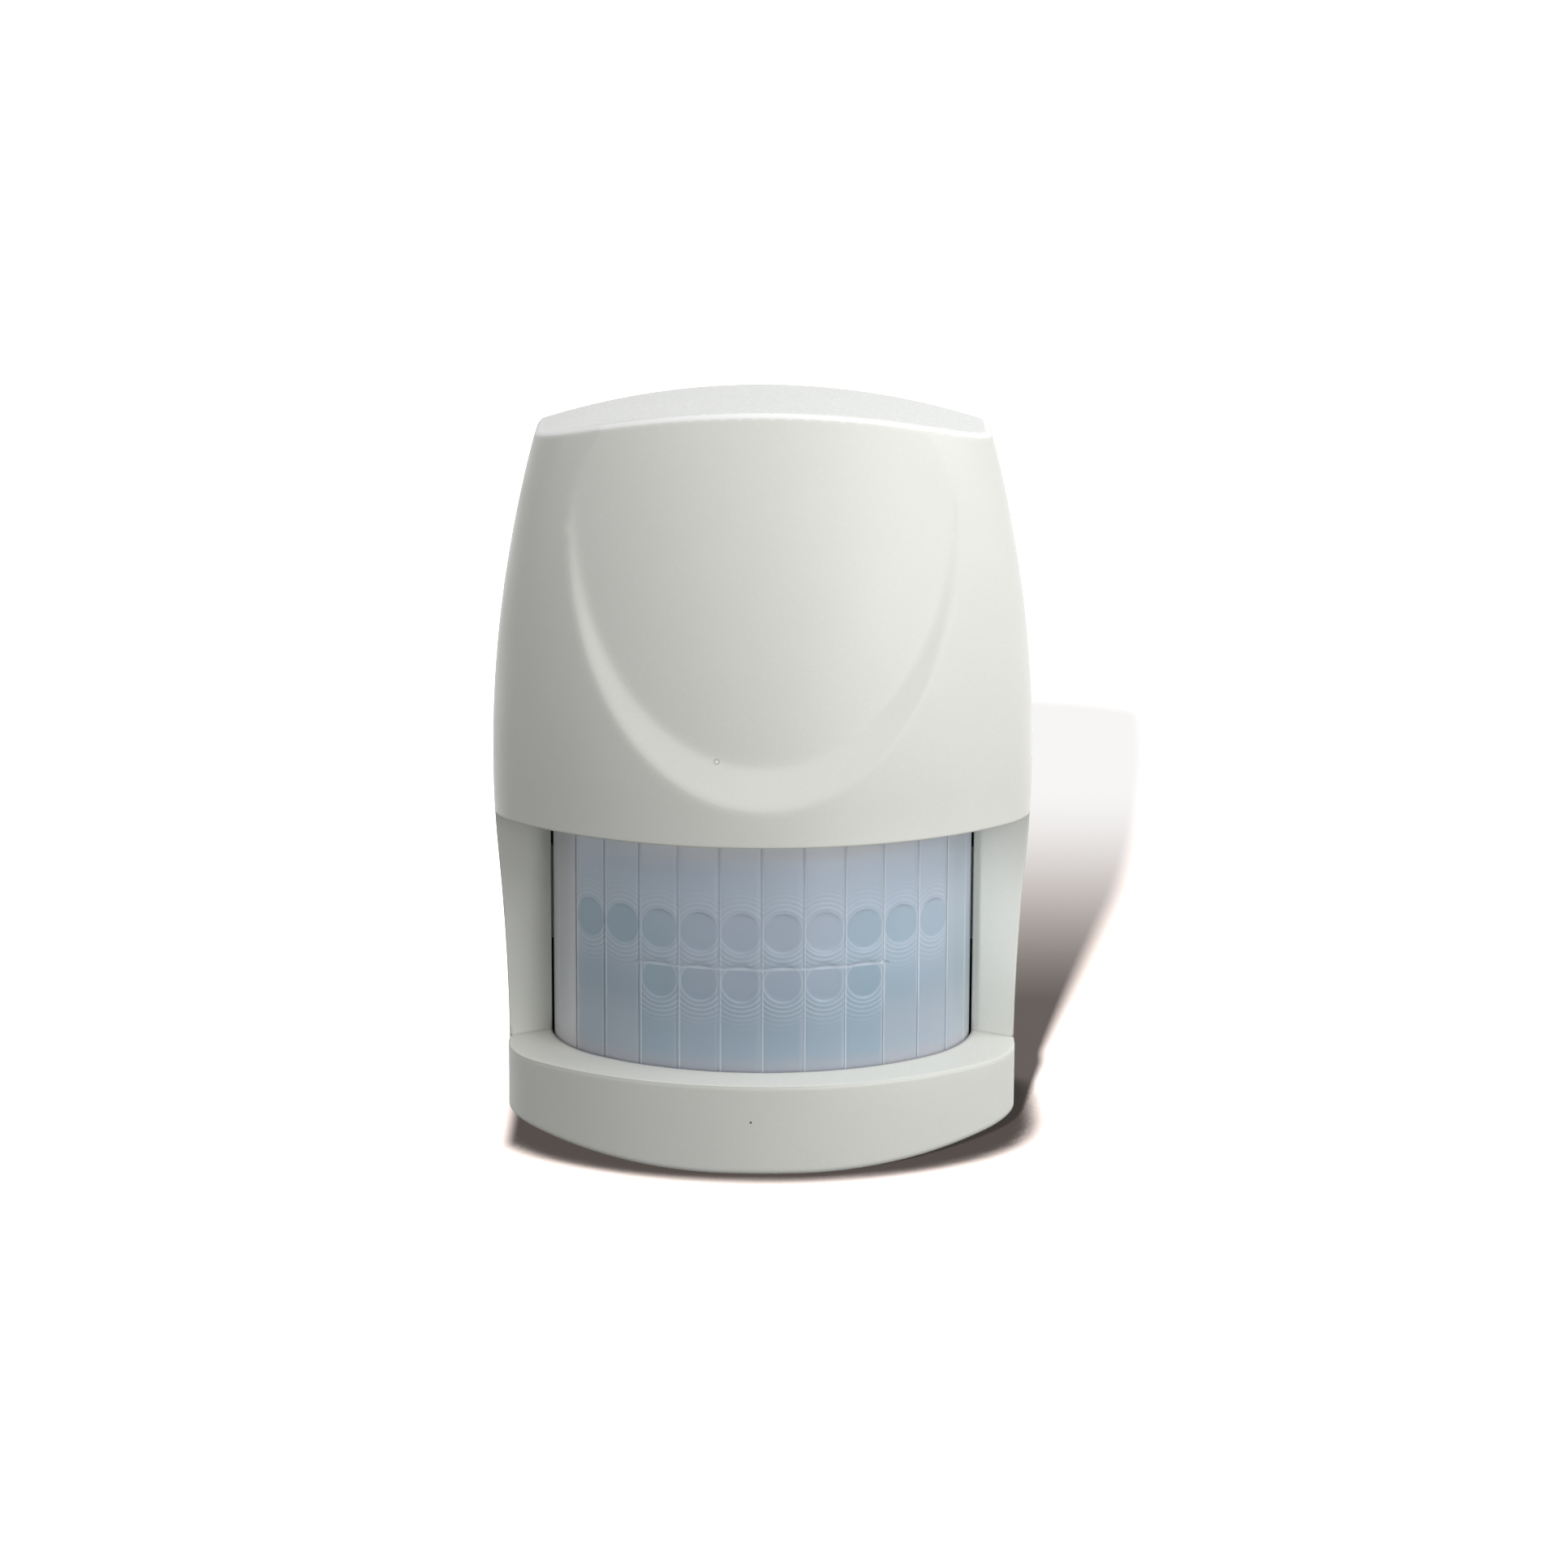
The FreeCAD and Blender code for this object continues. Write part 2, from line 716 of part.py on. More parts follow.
def lens_point(along):
    """Across, depth and facing angle of the lens's outer face at a length of arc from its
    middle."""
    main, small = value("lens_radius"), value("lens_side_radius")
    turn = value("lens_turn")
    angle = math.degrees(abs(along) / main)
    radius, centre_x, centre_y = main, 0, main - value("lens_depth")
    if angle > turn:
        angle = turn + math.degrees((abs(along) - main * math.radians(turn)) / small)
        radius = small
        centre_x = (main - small) * math.sin(math.radians(turn))
        centre_y -= (main - small) * math.cos(math.radians(turn))
    side = math.copysign(1, along)
    x = side * (centre_x + radius * math.sin(math.radians(angle)))
    return x, radius * math.cos(math.radians(angle)) - centre_y, side * angle


def on_lens(item, along, height, sink_text):
    """Turns an item to face out of the lens and sinks its origin below the outer face."""
    x, depth, angle = lens_point(along)
    sink = value(sink_text)
    x -= sink * math.sin(math.radians(angle))
    depth -= sink * math.cos(math.radians(angle))
    turn = Rotation(UP, angle)
    item.Placement = Placement(Vector(x, -depth, 0), turn.multiply(item.Placement.Rotation))
    return bind(item, Placement__Base__z=height)


def groove(name, along):
    """Upright groove between two lens fields."""
    tool = add("Part::Box", name)
    bind(tool, Length="lens_groove_width", Width="wall", Height="lens_top - lens_bottom")
    on_lens(tool, along, "lens_bottom", "lens_groove")
    tool.Placement.Rotation = tool.Placement.Rotation.multiply(Rotation(UP, 180))
    return tool


def disc(name, along, height, radius):
    """Shallow round recess over the centre of a lens field."""
    tool = bind(add("Part::Cylinder", name), Radius=radius, Height="wall")
    tool.Placement = Placement(Vector(0, 0, 0), FORWARD)
    return on_lens(tool, along, height, "lens_groove")


def fresnel_lens():
    """Bent sheet whose fields are parted by fine grooves, a round lens centre in each."""
    sheet_form = cut(
        "lens_sheet",
        lens_region("lens_outer", "0", "lens_bottom", "lens_top", "cheek_depth - wall"),
        lens_region("lens_inner", "-lens_thickness", "0", "body_height", "0"),
    )
    pitch = value("lens_pitch")
    tools = [groove(f"groove_{index + 5}", index * pitch) for index in range(-5, 6)]
    for index in range(10):
        along = (index - 4.5) * pitch
        tools.append(disc(f"upper_disc_{index}", along, "sensor_height", "upper_disc_radius"))
    for index in range(6):
        along = (index - 2.5) * pitch
        tools.append(disc(f"lower_disc_{index}", along, "lower_disc_height", "lower_disc_radius"))
    row_low, row_high = (f"lens_row_height {sign} lens_groove_width / 2" for sign in "-+")
    row_outer = lens_region("row_outer", "wall", row_low, row_high, "cheek_depth - wall")
    row_inner = lens_region("row_inner", "-lens_groove", "0", "body_height", "0")
    row_ends = block("row_ends", ("-3 * lens_pitch", "3 * lens_pitch"),
                     ("cheek_depth", "body_depth"), (row_low, row_high))
    tools.append(common("row_groove", cut("row_ring", row_outer, row_inner), row_ends))
    return node("fresnel_lens", cut("lens", sheet_form, *tools))


def lens_frame():
    """Channel round the lens sheet, its window open, with an ear behind each cheek."""
    low, high = "lens_bottom - frame_rail", "lens_top + frame_rail"
    outer = lens_region("frame_outer", "lens_clearance", low, high, "frame_back")
    inside = lens_region(
        "frame_inside", "-lens_thickness - frame_thickness", "0", "body_height", "0"
    )
    slot = lens_region("frame_slot", "lens_clearance", "lens_bottom", "lens_top", "frame_back - 1")
    core = lens_region("frame_core", "-lens_thickness", "0", "body_height", "0")
    window = block("frame_window", ("-body_width / 2", "body_width / 2"),
                   ("frame_post_depth", "body_depth"),
                   ("ledge_top + 1", "soffit_bottom - 0.3"))
    channel = cut("frame_channel", outer, inside, cut("frame_groove", slot, core), window)
    ears = []
    for side, sign in (("left", "-1"), ("right", "1")):
        near = f"{sign} * (lens_half - lens_thickness - frame_thickness)"
        far = f"{sign} * (lens_half + ear_length)"
        span = (far, near) if sign == "-1" else (near, far)
        ears.append(block(f"ear_{side}", span, ("frame_back", "cheek_depth - wall"),
                          ("sensor_height - 6", "sensor_height + 6")))
    return node("lens_frame", fuse("frame", channel, *ears))


# Rear cover


def rear_cover():
    """Flat back with a lip that fits into the front cover, screw holes and board posts."""
    back = tube("back", "flange_inset", "0", "floor_thickness")
    lip_inset = "wall + lip_clearance"
    lip = cut(
        "lip",
        tube("lip_outside", lip_inset, "floor_thickness / 2", "lip_front"),
        tube("lip_inside", f"{lip_inset} + lip_thickness", "0", "body_depth"),
    )
    holder_room = block(
        "holder_room",
        ("-holder_half - slide_clearance", "holder_half + slide_clearance"),
        ("floor_thickness", "body_depth"),
        ("holder_bottom - slide_clearance", "holder_top + slide_clearance"),
    )
    lip = cut("lip_notched", lip, holder_room)
    posts = []
    for side in ("-", ""):
        for row in ("low", "high"):
            post = block(
                f"post_{row}_{'left' if side else 'right'}",
                (f"{side}post_offset - post_width / 2", f"{side}post_offset + post_width / 2"),
                ("floor_thickness / 2", BOARD_BACK),
                (f"post_{row} - post_width / 2", f"post_{row} + post_width / 2"),
            )
            posts.append(post)
    boss = block("screw_boss", ("-boss_width / 2", "boss_width / 2"),
                 ("floor_thickness / 2", "lip_front"), ("wall + lip_clearance", "boss_top"))
    form = fuse("tray", back, lip, boss, *posts)
    drillings = [
        rod("boss_hole", "case_screw_radius", "0", "case_screw_depth", "0", "case_screw_top", "up"),
        rod("tamper_hole", "plunger_radius + slide_clearance", "tamper_offset", "-1",
            "tamper_height", "floor_thickness + 2"),
    ]
    for side in ("-", ""):
        name = "left" if side else "right"
        drillings.append(rod(f"wall_hole_{name}", "wall_hole_radius", f"{side}wall_hole_offset",
                             "-1", "wall_hole_height", "floor_thickness + 2"))
        drillings.append(rod(f"post_hole_{name}", "screw_radius", f"{side}post_offset",
                             "floor_thickness", "post_low", "body_depth"))
    return node("rear_cover", cut("rear", form, *drillings))


def case_screw():
    corners = [
        ("0", "0"),
        ("case_head_radius", "0"),
        ("case_head_radius", "case_head_height"),
        ("case_screw_radius", "case_head_height"),
        ("case_screw_radius", "case_screw_top"),
        ("0", "case_screw_top"),
    ]
    screw = turned("sole_screw", corners, "0", "case_screw_depth", "0", "up")
    slot = block("sole_screw_slot", ("-case_head_radius", "case_head_radius"),
                 ("case_screw_depth - slot_width / 2", "case_screw_depth + slot_width / 2"),
                 ("-1", "slot_depth"))
    return node("case_screw", cut("sole_screw_slotted", screw, slot))


# Board


def circuit_board():
    """Board with a notch in its bottom edge for the screw boss of the rear cover."""
    half = "board_width / 2"
    corners = [
        (f"-{half}", "board_bottom"),
        (half, "board_bottom"),
        (half, "board_top"),
        (f"-{half}", "board_top"),
    ]
    notch = "boss_width / 2 + 2 * slide_clearance"
    corners[1:1] = [
        (f"-({notch})", "board_bottom"),
        (f"-({notch})", "boss_top + 2 * slide_clearance"),
        (notch, "boss_top + 2 * slide_clearance"),
        (notch, "board_bottom"),
    ]
    holes = [("screw_radius + 0.1", f"{side}post_offset", "post_low") for side in ("-", "")]
    board = plate("board", corners, "board_thickness", "0", BOARD_BACK, "0", holes)
    return node("circuit_board", board)


def board_screws():
    tip = "screw_end_gap - board_thickness - board_standoff"
    corners = [
        ("0", tip),
        ("screw_radius", tip),
        ("screw_radius", "0"),
        ("screw_head_radius", "0"),
        ("screw_head_radius", "screw_head_height"),
        ("0", "screw_head_height"),
    ]
    screws = [
        turned(f"board_screw_{index}", corners, f"{side}post_offset", BOARD_FRONT, "post_low")
        for index, side in enumerate(("-", ""))
    ]
    return node("board_screws", group("board_screw_pair", *screws))


def sensor():
    """Round infrared sensor on a spacer: base, can with a square opening, window inside."""
    base_depth = f"{BOARD_FRONT} + spacer_height"
    spacer = [("0", "0"), ("spacer_radius", "0"), ("spacer_radius", "spacer_height"),
              ("0", "spacer_height")]
    node("sensor_spacer", turned("spacer", spacer, "0", BOARD_FRONT, "sensor_height"))
    base = [("0", "0"), ("sensor_base_radius", "0"), ("sensor_base_radius", "sensor_base_height"),
            ("0", "sensor_base_height")]
    node("pir_sensor_base", turned("sensor_base", base, "0", base_depth, "sensor_height"))
    can_depth = f"{base_depth} + sensor_base_height"
    inner = "can_radius - can_wall"
    can = [(inner, "0"), ("can_radius", "0"), ("can_radius", "can_height"), ("0", "can_height"),
           ("0", "can_height - can_wall"), (inner, "can_height - can_wall")]
    shell = turned("can_shell", can, "0", can_depth, "sensor_height")
    half_width, half_height = "sensor_window_width / 2", "sensor_window_height / 2"
    hole = block("can_opening", (f"-{half_width}", half_width), (can_depth, "body_depth"),
                 (f"sensor_height - {half_height}", f"sensor_height + {half_height}"))
    node("pir_sensor_can", cut("can", shell, hole))
    glass_front = f"{can_depth} + can_height - can_wall"
    glass = block("can_glass", (f"-{half_width} - can_wall", f"{half_width} + can_wall"),
                  (f"{glass_front} - can_wall", glass_front),
                  (f"sensor_height - {half_height} - can_wall",
                   f"sensor_height + {half_height} + can_wall"))
    return node("pir_sensor_window", glass)


def status_led():
    dome = [("0", "0"), ("led_radius", "0"), ("led_radius", "led_shoulder"),
            ("led_tip_radius", "led_length"), ("0", "led_length")]
    return node("status_led", turned("led", dome, "led_across", BOARD_FRONT, "top_row_height"))


def chip(name, x, z, base="0"):
    """Small flat part on the front of the board, or on another one of a given thickness."""
    width, length, thickness = (f"{name}_{size}" for size in ("width", "length", "thickness"))
    solid = block(name + "_body", (f"{x} - {width} / 2", f"{x} + {width} / 2"),
                  (f"{BOARD_FRONT} + {base}", f"{BOARD_FRONT} + {base} + {thickness}"),
                  (f"{z} - {length} / 2", f"{z} + {length} / 2"))
    return node(name, solid)


def chips():
    chip("control_chip", "control_chip_across", "control_chip_up")
    chip("amplifier_chip", "amplifier_chip_across", "top_row_height")
    chip("crystal", "crystal_across", "crystal_up")
    chip("radio_board", "radio_across", "radio_board_up")
    chip("radio_shield", "radio_across", "radio_shield_up", "radio_board_thickness")
    chip("jumper_header", "jumper_across", "top_row_height")
    chip("jumper_cap", "jumper_across", "top_row_height", "jumper_header_thickness")


def supply_capacitors():
    corners = [("0", "0"), ("capacitor_radius", "0"), ("capacitor_radius", "capacitor_height"),
               ("0", "capacitor_height")]
    pair = [
        turned(f"capacitor_{index}", corners,
               f"board_width / 2 - capacitor_margin - {index} * capacitor_pitch",
               BOARD_FRONT, "top_row_height")
        for index in range(2)
    ]
    return node("supply_capacitors", group("capacitor_pair", *pair))


def antenna_strip():
    """Bent metal strip that stands off the board and runs upwards."""
    side = ("strip_margin - board_width / 2", "strip_margin - board_width / 2 + strip_width")
    foot = block("strip_foot", side, (BOARD_FRONT, f"{BOARD_FRONT} + strip_rise"),
                 ("strip_foot_height", "strip_foot_height + strip_thickness"))
    run = block("strip_run", side,
                (f"{BOARD_FRONT} + strip_rise", f"{BOARD_FRONT} + strip_rise + strip_thickness"),
                ("strip_foot_height", "strip_foot_height + strip_length"))
    return node("antenna_strip", fuse("strip", foot, run))


# Moving pieces and their housings


def tamper():
    """Plunger that the wall pushes in, and the housing on the board that guides it."""
    gap = "lens_clearance"
    half = "tamper_housing / 2"
    box_back = f"floor_thickness + {gap}"
    body = block("tamper_body", (f"tamper_offset - {half}", f"tamper_offset + {half}"),
                 (box_back, BOARD_BACK), (f"tamper_height - {half}", f"tamper_height + {half}"))
    bore = rod("tamper_bore", "collar_radius + slide_clearance", "tamper_offset", "0",
               "tamper_height", f"{BOARD_BACK} - {gap}")
    node("tamper_switch", cut("tamper_housing_bored", body, bore))
    top = f"tamper_reach + floor_thickness + {gap}"
    corners = [
        ("0", "0"),
        ("plunger_radius", "0"),
        ("plunger_radius", top),
        ("collar_radius", top),
        ("collar_radius", f"{top} + collar_thickness"),
        ("0", f"{top} + collar_thickness"),
    ]
    plunger = turned("plunger", corners, "tamper_offset", "-tamper_reach", "tamper_height")
    node("tamper_plunger", plunger)


def learn():
    """Push switch on the board with its button."""
    half = "switch_width / 2"
    x, z = "button_offset", "button_height"
    body = block("learn_body", (f"{x} - {half}", f"{x} + {half}"),
                 (BOARD_FRONT, f"{BOARD_FRONT} + switch_height"), (f"{z} - {half}", f"{z} + {half}"))
    chamber_floor = f"{BOARD_FRONT} + switch_floor"
    chamber = rod("learn_chamber", "collar_radius + slide_clearance", x, chamber_floor, z,
                  "switch_height - switch_floor - switch_lid")
    stem_hole = rod("learn_stem_hole", "button_radius + slide_clearance", x, chamber_floor, z,
                    "switch_height")
    node("learn_switch", cut("learn_housing", body, chamber, stem_hole))
    shoulder = "switch_height - switch_lid - button_play"
    corners = [
        ("0", f"{shoulder} - collar_thickness"),
        ("collar_radius", f"{shoulder} - collar_thickness"),
        ("collar_radius", shoulder),
        ("button_radius", shoulder),
        ("button_radius", "switch_height + button_rise"),
        ("0", "switch_height + button_rise"),
    ]
    node("learn_button", turned("button", corners, x, BOARD_FRONT, z))


# Power


def cell_heights():
    return [("bottom", "cell_height - cell_pitch"), ("middle", "cell_height"),
            ("top", "cell_height + cell_pitch")]


def battery_holder():
    """Tray with two end walls and a low ridge between neighbouring cells."""
    inner = "(holder_half - holder_wall)"
    heights = ("holder_bottom", "holder_top")
    top_of_floor = "floor_thickness + holder_floor"
    wall_depths = ("floor_thickness", f"{top_of_floor} + holder_wall_height")
    walls = [
        block("holder_left", ("-holder_half", f"-{inner}"), wall_depths, heights),
        block("holder_right", (inner, "holder_half"), wall_depths, heights),
    ]
    floor = block("holder_base", (f"-{inner}", inner), ("floor_thickness", top_of_floor), heights)
    ridges = []
    for index, offset in enumerate(("-0.5", "0.5")):
        middle = f"cell_height + cell_pitch * {offset}"
        crest = f"{top_of_floor} + ridge_height"
        ridge = side_profile(f"ridge_{index}", [
            ("floor_thickness", f"{middle} - ridge_foot"),
            (crest, f"{middle} - ridge_crest"),
            (crest, f"{middle} + ridge_crest"),
            ("floor_thickness", f"{middle} + ridge_foot"),
        ])
        ridges.append(ridge)
    span = block("ridge_span", ("-ridge_length / 2", "ridge_length / 2"), ("0", "body_depth"),
                 heights)
    ridge_pair = common("ridge_pair", fuse("ridges", *ridges), span)
    return node("battery_holder", fuse("holder", floor, ridge_pair, *walls))


def cells():
    """Three cells lying across, the middle one the other way round."""
    corners = [
        ("0", "-cell_length / 2"),
        ("cell_radius", "-cell_length / 2"),
        ("cell_radius", "cell_length / 2 - nub_length"),
        ("nub_radius", "cell_length / 2 - nub_length"),
        ("nub_radius", "cell_length / 2"),
        ("0", "cell_length / 2"),
    ]
    depth = "floor_thickness + holder_floor + cell_gap + cell_radius"
    plates, springs = [], []
    size = "contact_size / 2"
    for name, height in cell_heights():
        flip = name == "middle"
        turn = "left" if flip else "right"
        shift = "-spring_length / 2" if flip else "spring_length / 2"
        node(f"cell_{name}", turned(f"{name}_cell", corners, shift, depth, height, turn))
        end = "cell_length / 2 + spring_length / 2"
        sides = (f"-({end} + contact_thickness)", f"-({end})"), (end, f"{end} + contact_thickness")
        rows = (f"{depth} - {size}", f"{depth} + {size}"), (f"{height} - {size}", f"{height} + {size}")
        near, far = (sides[1], sides[0]) if flip else (sides[0], sides[1])
        plates.append(block(f"plate_{name}", far, *rows))
        springs.append(spring_contact(name, near, depth, height, "-" if flip else ""))
    node("plate_contacts", group("plate_set", *plates))
    node("spring_contacts", group("spring_set", *springs))


def spring_contact(name, side, depth, height, sign):
    """Flat plate with a leaf bent out of it that presses on the end of a cell."""
    size = "contact_size / 2"
    base = block(f"spring_base_{name}", side, (f"{depth} - {size}", f"{depth} + {size}"),
                 (f"{height} - {size}", f"{height} + {size}"))
    leaf = add("Sketcher::SketchObject", f"leaf_{name}")
    inner = "-(cell_length / 2 + spring_length / 2)"
    tip = "-(cell_length / 2 - spring_length / 2)"
    upper = [
        (inner, f"{height} + leaf_reach"),
        (tip, f"{height} + leaf_crown"),
        (tip, f"{height} - leaf_crown"),
        (inner, f"{height} - leaf_reach"),
        (inner, f"{height} - leaf_reach + 2 * leaf_thickness"),
        (f"{tip} - leaf_thickness", f"{height} - leaf_crown"),
        (f"{tip} - leaf_thickness", f"{height} + leaf_crown"),
        (inner, f"{height} + leaf_reach - 2 * leaf_thickness"),
    ]
    corners = [(f"-({x})", z) for x, z in upper] if sign else upper
    place(leaf, "0", f"{depth} - leaf_width / 2", "0", "forward")
    polygon(leaf, corners)
    return fuse(f"spring_{name}", base, prism(f"leaf_strip_{name}", leaf, "leaf_width"))


node("front_cover", front_cover())
fresnel_lens()
lens_frame()
rear_cover()
case_screw()
circuit_board()
board_screws()
sensor()
status_led()
chips()
supply_capacitors()
antenna_strip()
tamper()
learn()
battery_holder()
cells()

doc.recompute()
for item in doc.Objects:
    if "Invalid" in item.State or "Error" in item.State:
        raise RuntimeError(f"{item.Name} failed: {item.State}")
for name, item in nodes.items():
    if item.Shape.isNull() or not item.Shape.isValid():
        raise RuntimeError(f"{name} has no valid shape")

os.makedirs("parts", exist_ok=True)
for name, item in nodes.items():
    item.Shape.exportStep(f"parts/{name}.step")
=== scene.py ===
import json
import math
import bmesh
import bpy
from mathutils import Matrix, Vector

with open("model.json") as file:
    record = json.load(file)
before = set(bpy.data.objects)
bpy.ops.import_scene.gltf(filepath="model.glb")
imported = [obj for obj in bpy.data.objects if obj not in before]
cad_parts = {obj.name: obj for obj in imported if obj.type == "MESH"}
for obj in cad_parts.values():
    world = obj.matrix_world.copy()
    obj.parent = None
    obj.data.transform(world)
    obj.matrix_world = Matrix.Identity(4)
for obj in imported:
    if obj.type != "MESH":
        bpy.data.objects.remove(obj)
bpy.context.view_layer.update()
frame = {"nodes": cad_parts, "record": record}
nodes = frame["nodes"]
MM = 0.001
# The wall plane lies this far behind the origin.
WALL_Y = 20.15 * MM
MIDDLE = Vector((0.0, 0.0, 0.045))


# Shader helpers


class Tree:
    """Small wrapper that adds and links the nodes of one material or group."""

    def __init__(self, tree):
        self.tree = tree
        tree.nodes.clear()

    def node(self, kind, inputs=None, **settings):
        made = self.tree.nodes.new(kind)
        for key, content in settings.items():
            setattr(made, key, content)
        for key, content in (inputs or {}).items():
            socket = made.inputs[key]
            if isinstance(content, bpy.types.NodeSocket):
                self.tree.links.new(content, socket)
            else:
                socket.default_value = content
        return made

    def math(self, operation, first, second=0.0, third=0.0):
        made = self.node("ShaderNodeMath", {0: first, 1: second, 2: third}, operation=operation)
        return made.outputs[0]

    def product(self, first, *others):
        for other in others:
            first = self.math("MULTIPLY", first, other)
        return first

    def mix(self, factor, first, second):
        made = self.node("ShaderNodeMix", data_type="RGBA")
        for key, content in ((0, factor), (6, first), (7, second)):
            if isinstance(content, bpy.types.NodeSocket):
                self.tree.links.new(content, made.inputs[key])
            else:
                made.inputs[key].default_value = content
        return made.outputs[2]

    def range(self, value, low, high, to_low=0.0, to_high=1.0, smooth=True):
        """Value brought from one range to another and held inside it."""
        made = self.node(
            "ShaderNodeMapRange",
            {0: value, 1: low, 2: high, 3: to_low, 4: to_high},
            interpolation_type="SMOOTHSTEP" if smooth else "LINEAR",
        )
        return made.outputs[0]

    def place(self):
        """Object coordinates, in metres."""
        return self.node("ShaderNodeTexCoord").outputs["Object"]

    def noise(self, vector, scale, detail=2.0, roughness=0.5):
        made = self.node(
            "ShaderNodeTexNoise",
            {"Vector": vector, "Scale": scale, "Detail": detail, "Roughness": roughness},
        )
        return made.outputs["Fac"]


def colour(red, green, blue):
    return (red, green, blue, 1.0)


def new_group(name, inputs, outputs):
    group = bpy.data.node_groups.new(name, "ShaderNodeTree")
    for label, kind, start in inputs:
        socket = group.interface.new_socket(label, in_out="INPUT", socket_type=kind)
        if start is not None:
            socket.default_value = start
    for label, kind in outputs:
        group.interface.new_socket(label, in_out="OUTPUT", socket_type=kind)
    tree = Tree(group)
    return group, tree, tree.node("NodeGroupInput"), tree.node("NodeGroupOutput")


def grain_group():
    """Fine moulded grain: a cloudy mask, a speckle mask and a height."""
    group, tree, start, end = new_group(
        "moulded_grain",
        [("Scale", "NodeSocketFloat", 1.0), ("Speckle", "NodeSocketFloat", 1.0)],
        [("Cloud", "NodeSocketFloat"), ("Speck", "NodeSocketFloat"), ("Height", "NodeSocketFloat")],
    )
    place = tree.place()
    cloud = tree.noise(place, tree.math("MULTIPLY", start.outputs["Scale"], 90.0), 3.0)
    fine = tree.noise(place, tree.math("MULTIPLY", start.outputs["Scale"], 2600.0), 2.0, 0.6)
    coarse = tree.noise(place, tree.math("MULTIPLY", start.outputs["Scale"], 900.0), 2.0, 0.5)
    speck = tree.range(fine, 0.5, 0.72)
    link = tree.tree.links.new
    link(cloud, end.inputs["Cloud"])
    link(tree.math("MULTIPLY", speck, start.outputs["Speckle"]), end.inputs["Speck"])
    link(tree.math("MULTIPLY_ADD", coarse, 0.5, fine), end.inputs["Height"])
    return group


def spot_group():
    """A tiny mark: 1 inside its radius round a point, 0 outside."""
    group, tree, start, end = new_group(
        "tiny_mark",
        [("Point", "NodeSocketVector", None), ("Radius", "NodeSocketFloat", 0.0002)],
        [("Mask", "NodeSocketFloat")],
    )
    gap = tree.node(
        "ShaderNodeVectorMath",
        {0: tree.place(), 1: start.outputs["Point"]},
        operation="DISTANCE",
    ).outputs["Value"]
    share = tree.math("DIVIDE", gap, start.outputs["Radius"])
    mask = tree.range(share, 0.7, 1.1, 1.0, 0.0)
    tree.tree.links.new(mask, end.inputs["Mask"])
    return group


GRAIN = grain_group()
SPOT = spot_group()


def use_group(tree, group, **inputs):
    made = tree.node("ShaderNodeGroup", node_tree=group)
    for key, content in inputs.items():
        made.inputs[key].default_value = content
    return made


def new_material(name):
    material = bpy.data.materials.new(name)
    material.use_nodes = True
    tree = Tree(material.node_tree)
    shader = tree.node("ShaderNodeBsdfPrincipled")
    tree.node("ShaderNodeOutputMaterial", {"Surface": shader.outputs["BSDF"]})
    return material, tree, shader


def plain_finish(name, pale, dark, roughness, metallic=0.0, scale=1.0, bump=0.1, coat=0.0):
    """A moulded, cast or drawn surface: two close tones, uneven roughness, fine relief."""
    material, tree, shader = new_material(name)
    grain = use_group(tree, GRAIN, Scale=scale, Speckle=0.5)
    tone = tree.mix(grain.outputs["Cloud"], colour(*dark), colour(*pale))
    speckled = tree.mix(grain.outputs["Speck"], tone, colour(*pale))
    rough = tree.range(grain.outputs["Cloud"], 0.3, 0.7, roughness - 0.05, roughness + 0.05)
    relief = tree.node(
        "ShaderNodeBump",
        {"Height": grain.outputs["Height"], "Strength": bump, "Distance": 0.05 * MM},
    )
    link = tree.tree.links.new
    link(speckled, shader.inputs["Base Color"])
    link(rough, shader.inputs["Roughness"])
    link(relief.outputs["Normal"], shader.inputs["Normal"])
    shader.inputs["Metallic"].default_value = metallic
    shader.inputs["Coat Weight"].default_value = coat
    return material


# Materials


def height_and_side(tree):
    """Height and place across, read from the object coordinates, in metres."""
    parts = tree.node("ShaderNodeSeparateXYZ", {0: tree.place()})
    return parts.outputs["Z"], parts.outputs["X"]


# Heights on the cover: top of its base, rim of its hood, edge of its top, start of its top face.
BASE_TOP = 12.0 * MM
HOOD_RIM = 43.0 * MM
TOP_EDGE = 84.0 * MM
TOP_FACE = 80.0 * MM
# Edges are shaded with a small radius everywhere, more round the scoop and on the base.
EDGE_RADIUS = 0.4 * MM
SCOOP_RADIUS = 1.5 * MM
BASE_RADIUS = 0.5 * MM


def edge_softness(tree):
    """Radius that edges are shaded with. The scoop's right arm is crisp but for its top end."""
    height, side = height_and_side(tree)
    above_rim = tree.range(height, HOOD_RIM, HOOD_RIM + 1.5 * MM)
    below_top = tree.range(height, TOP_EDGE, TOP_EDGE + 3.0 * MM, 1.0, 0.0)
    left = tree.range(side, 2.0 * MM, 13.0 * MM, 1.0, 0.3)
    top_end = tree.range(height, 57.0 * MM, 70.0 * MM, 0.3, 1.15)
    scoop = tree.product(above_rim, below_top, tree.math("MAXIMUM", left, top_end))
    base = tree.range(height, BASE_TOP, BASE_TOP + 0.6 * MM, BASE_RADIUS, 0.0)
    return tree.math("MULTIPLY_ADD", scoop, SCOOP_RADIUS, tree.math("ADD", base, EDGE_RADIUS))


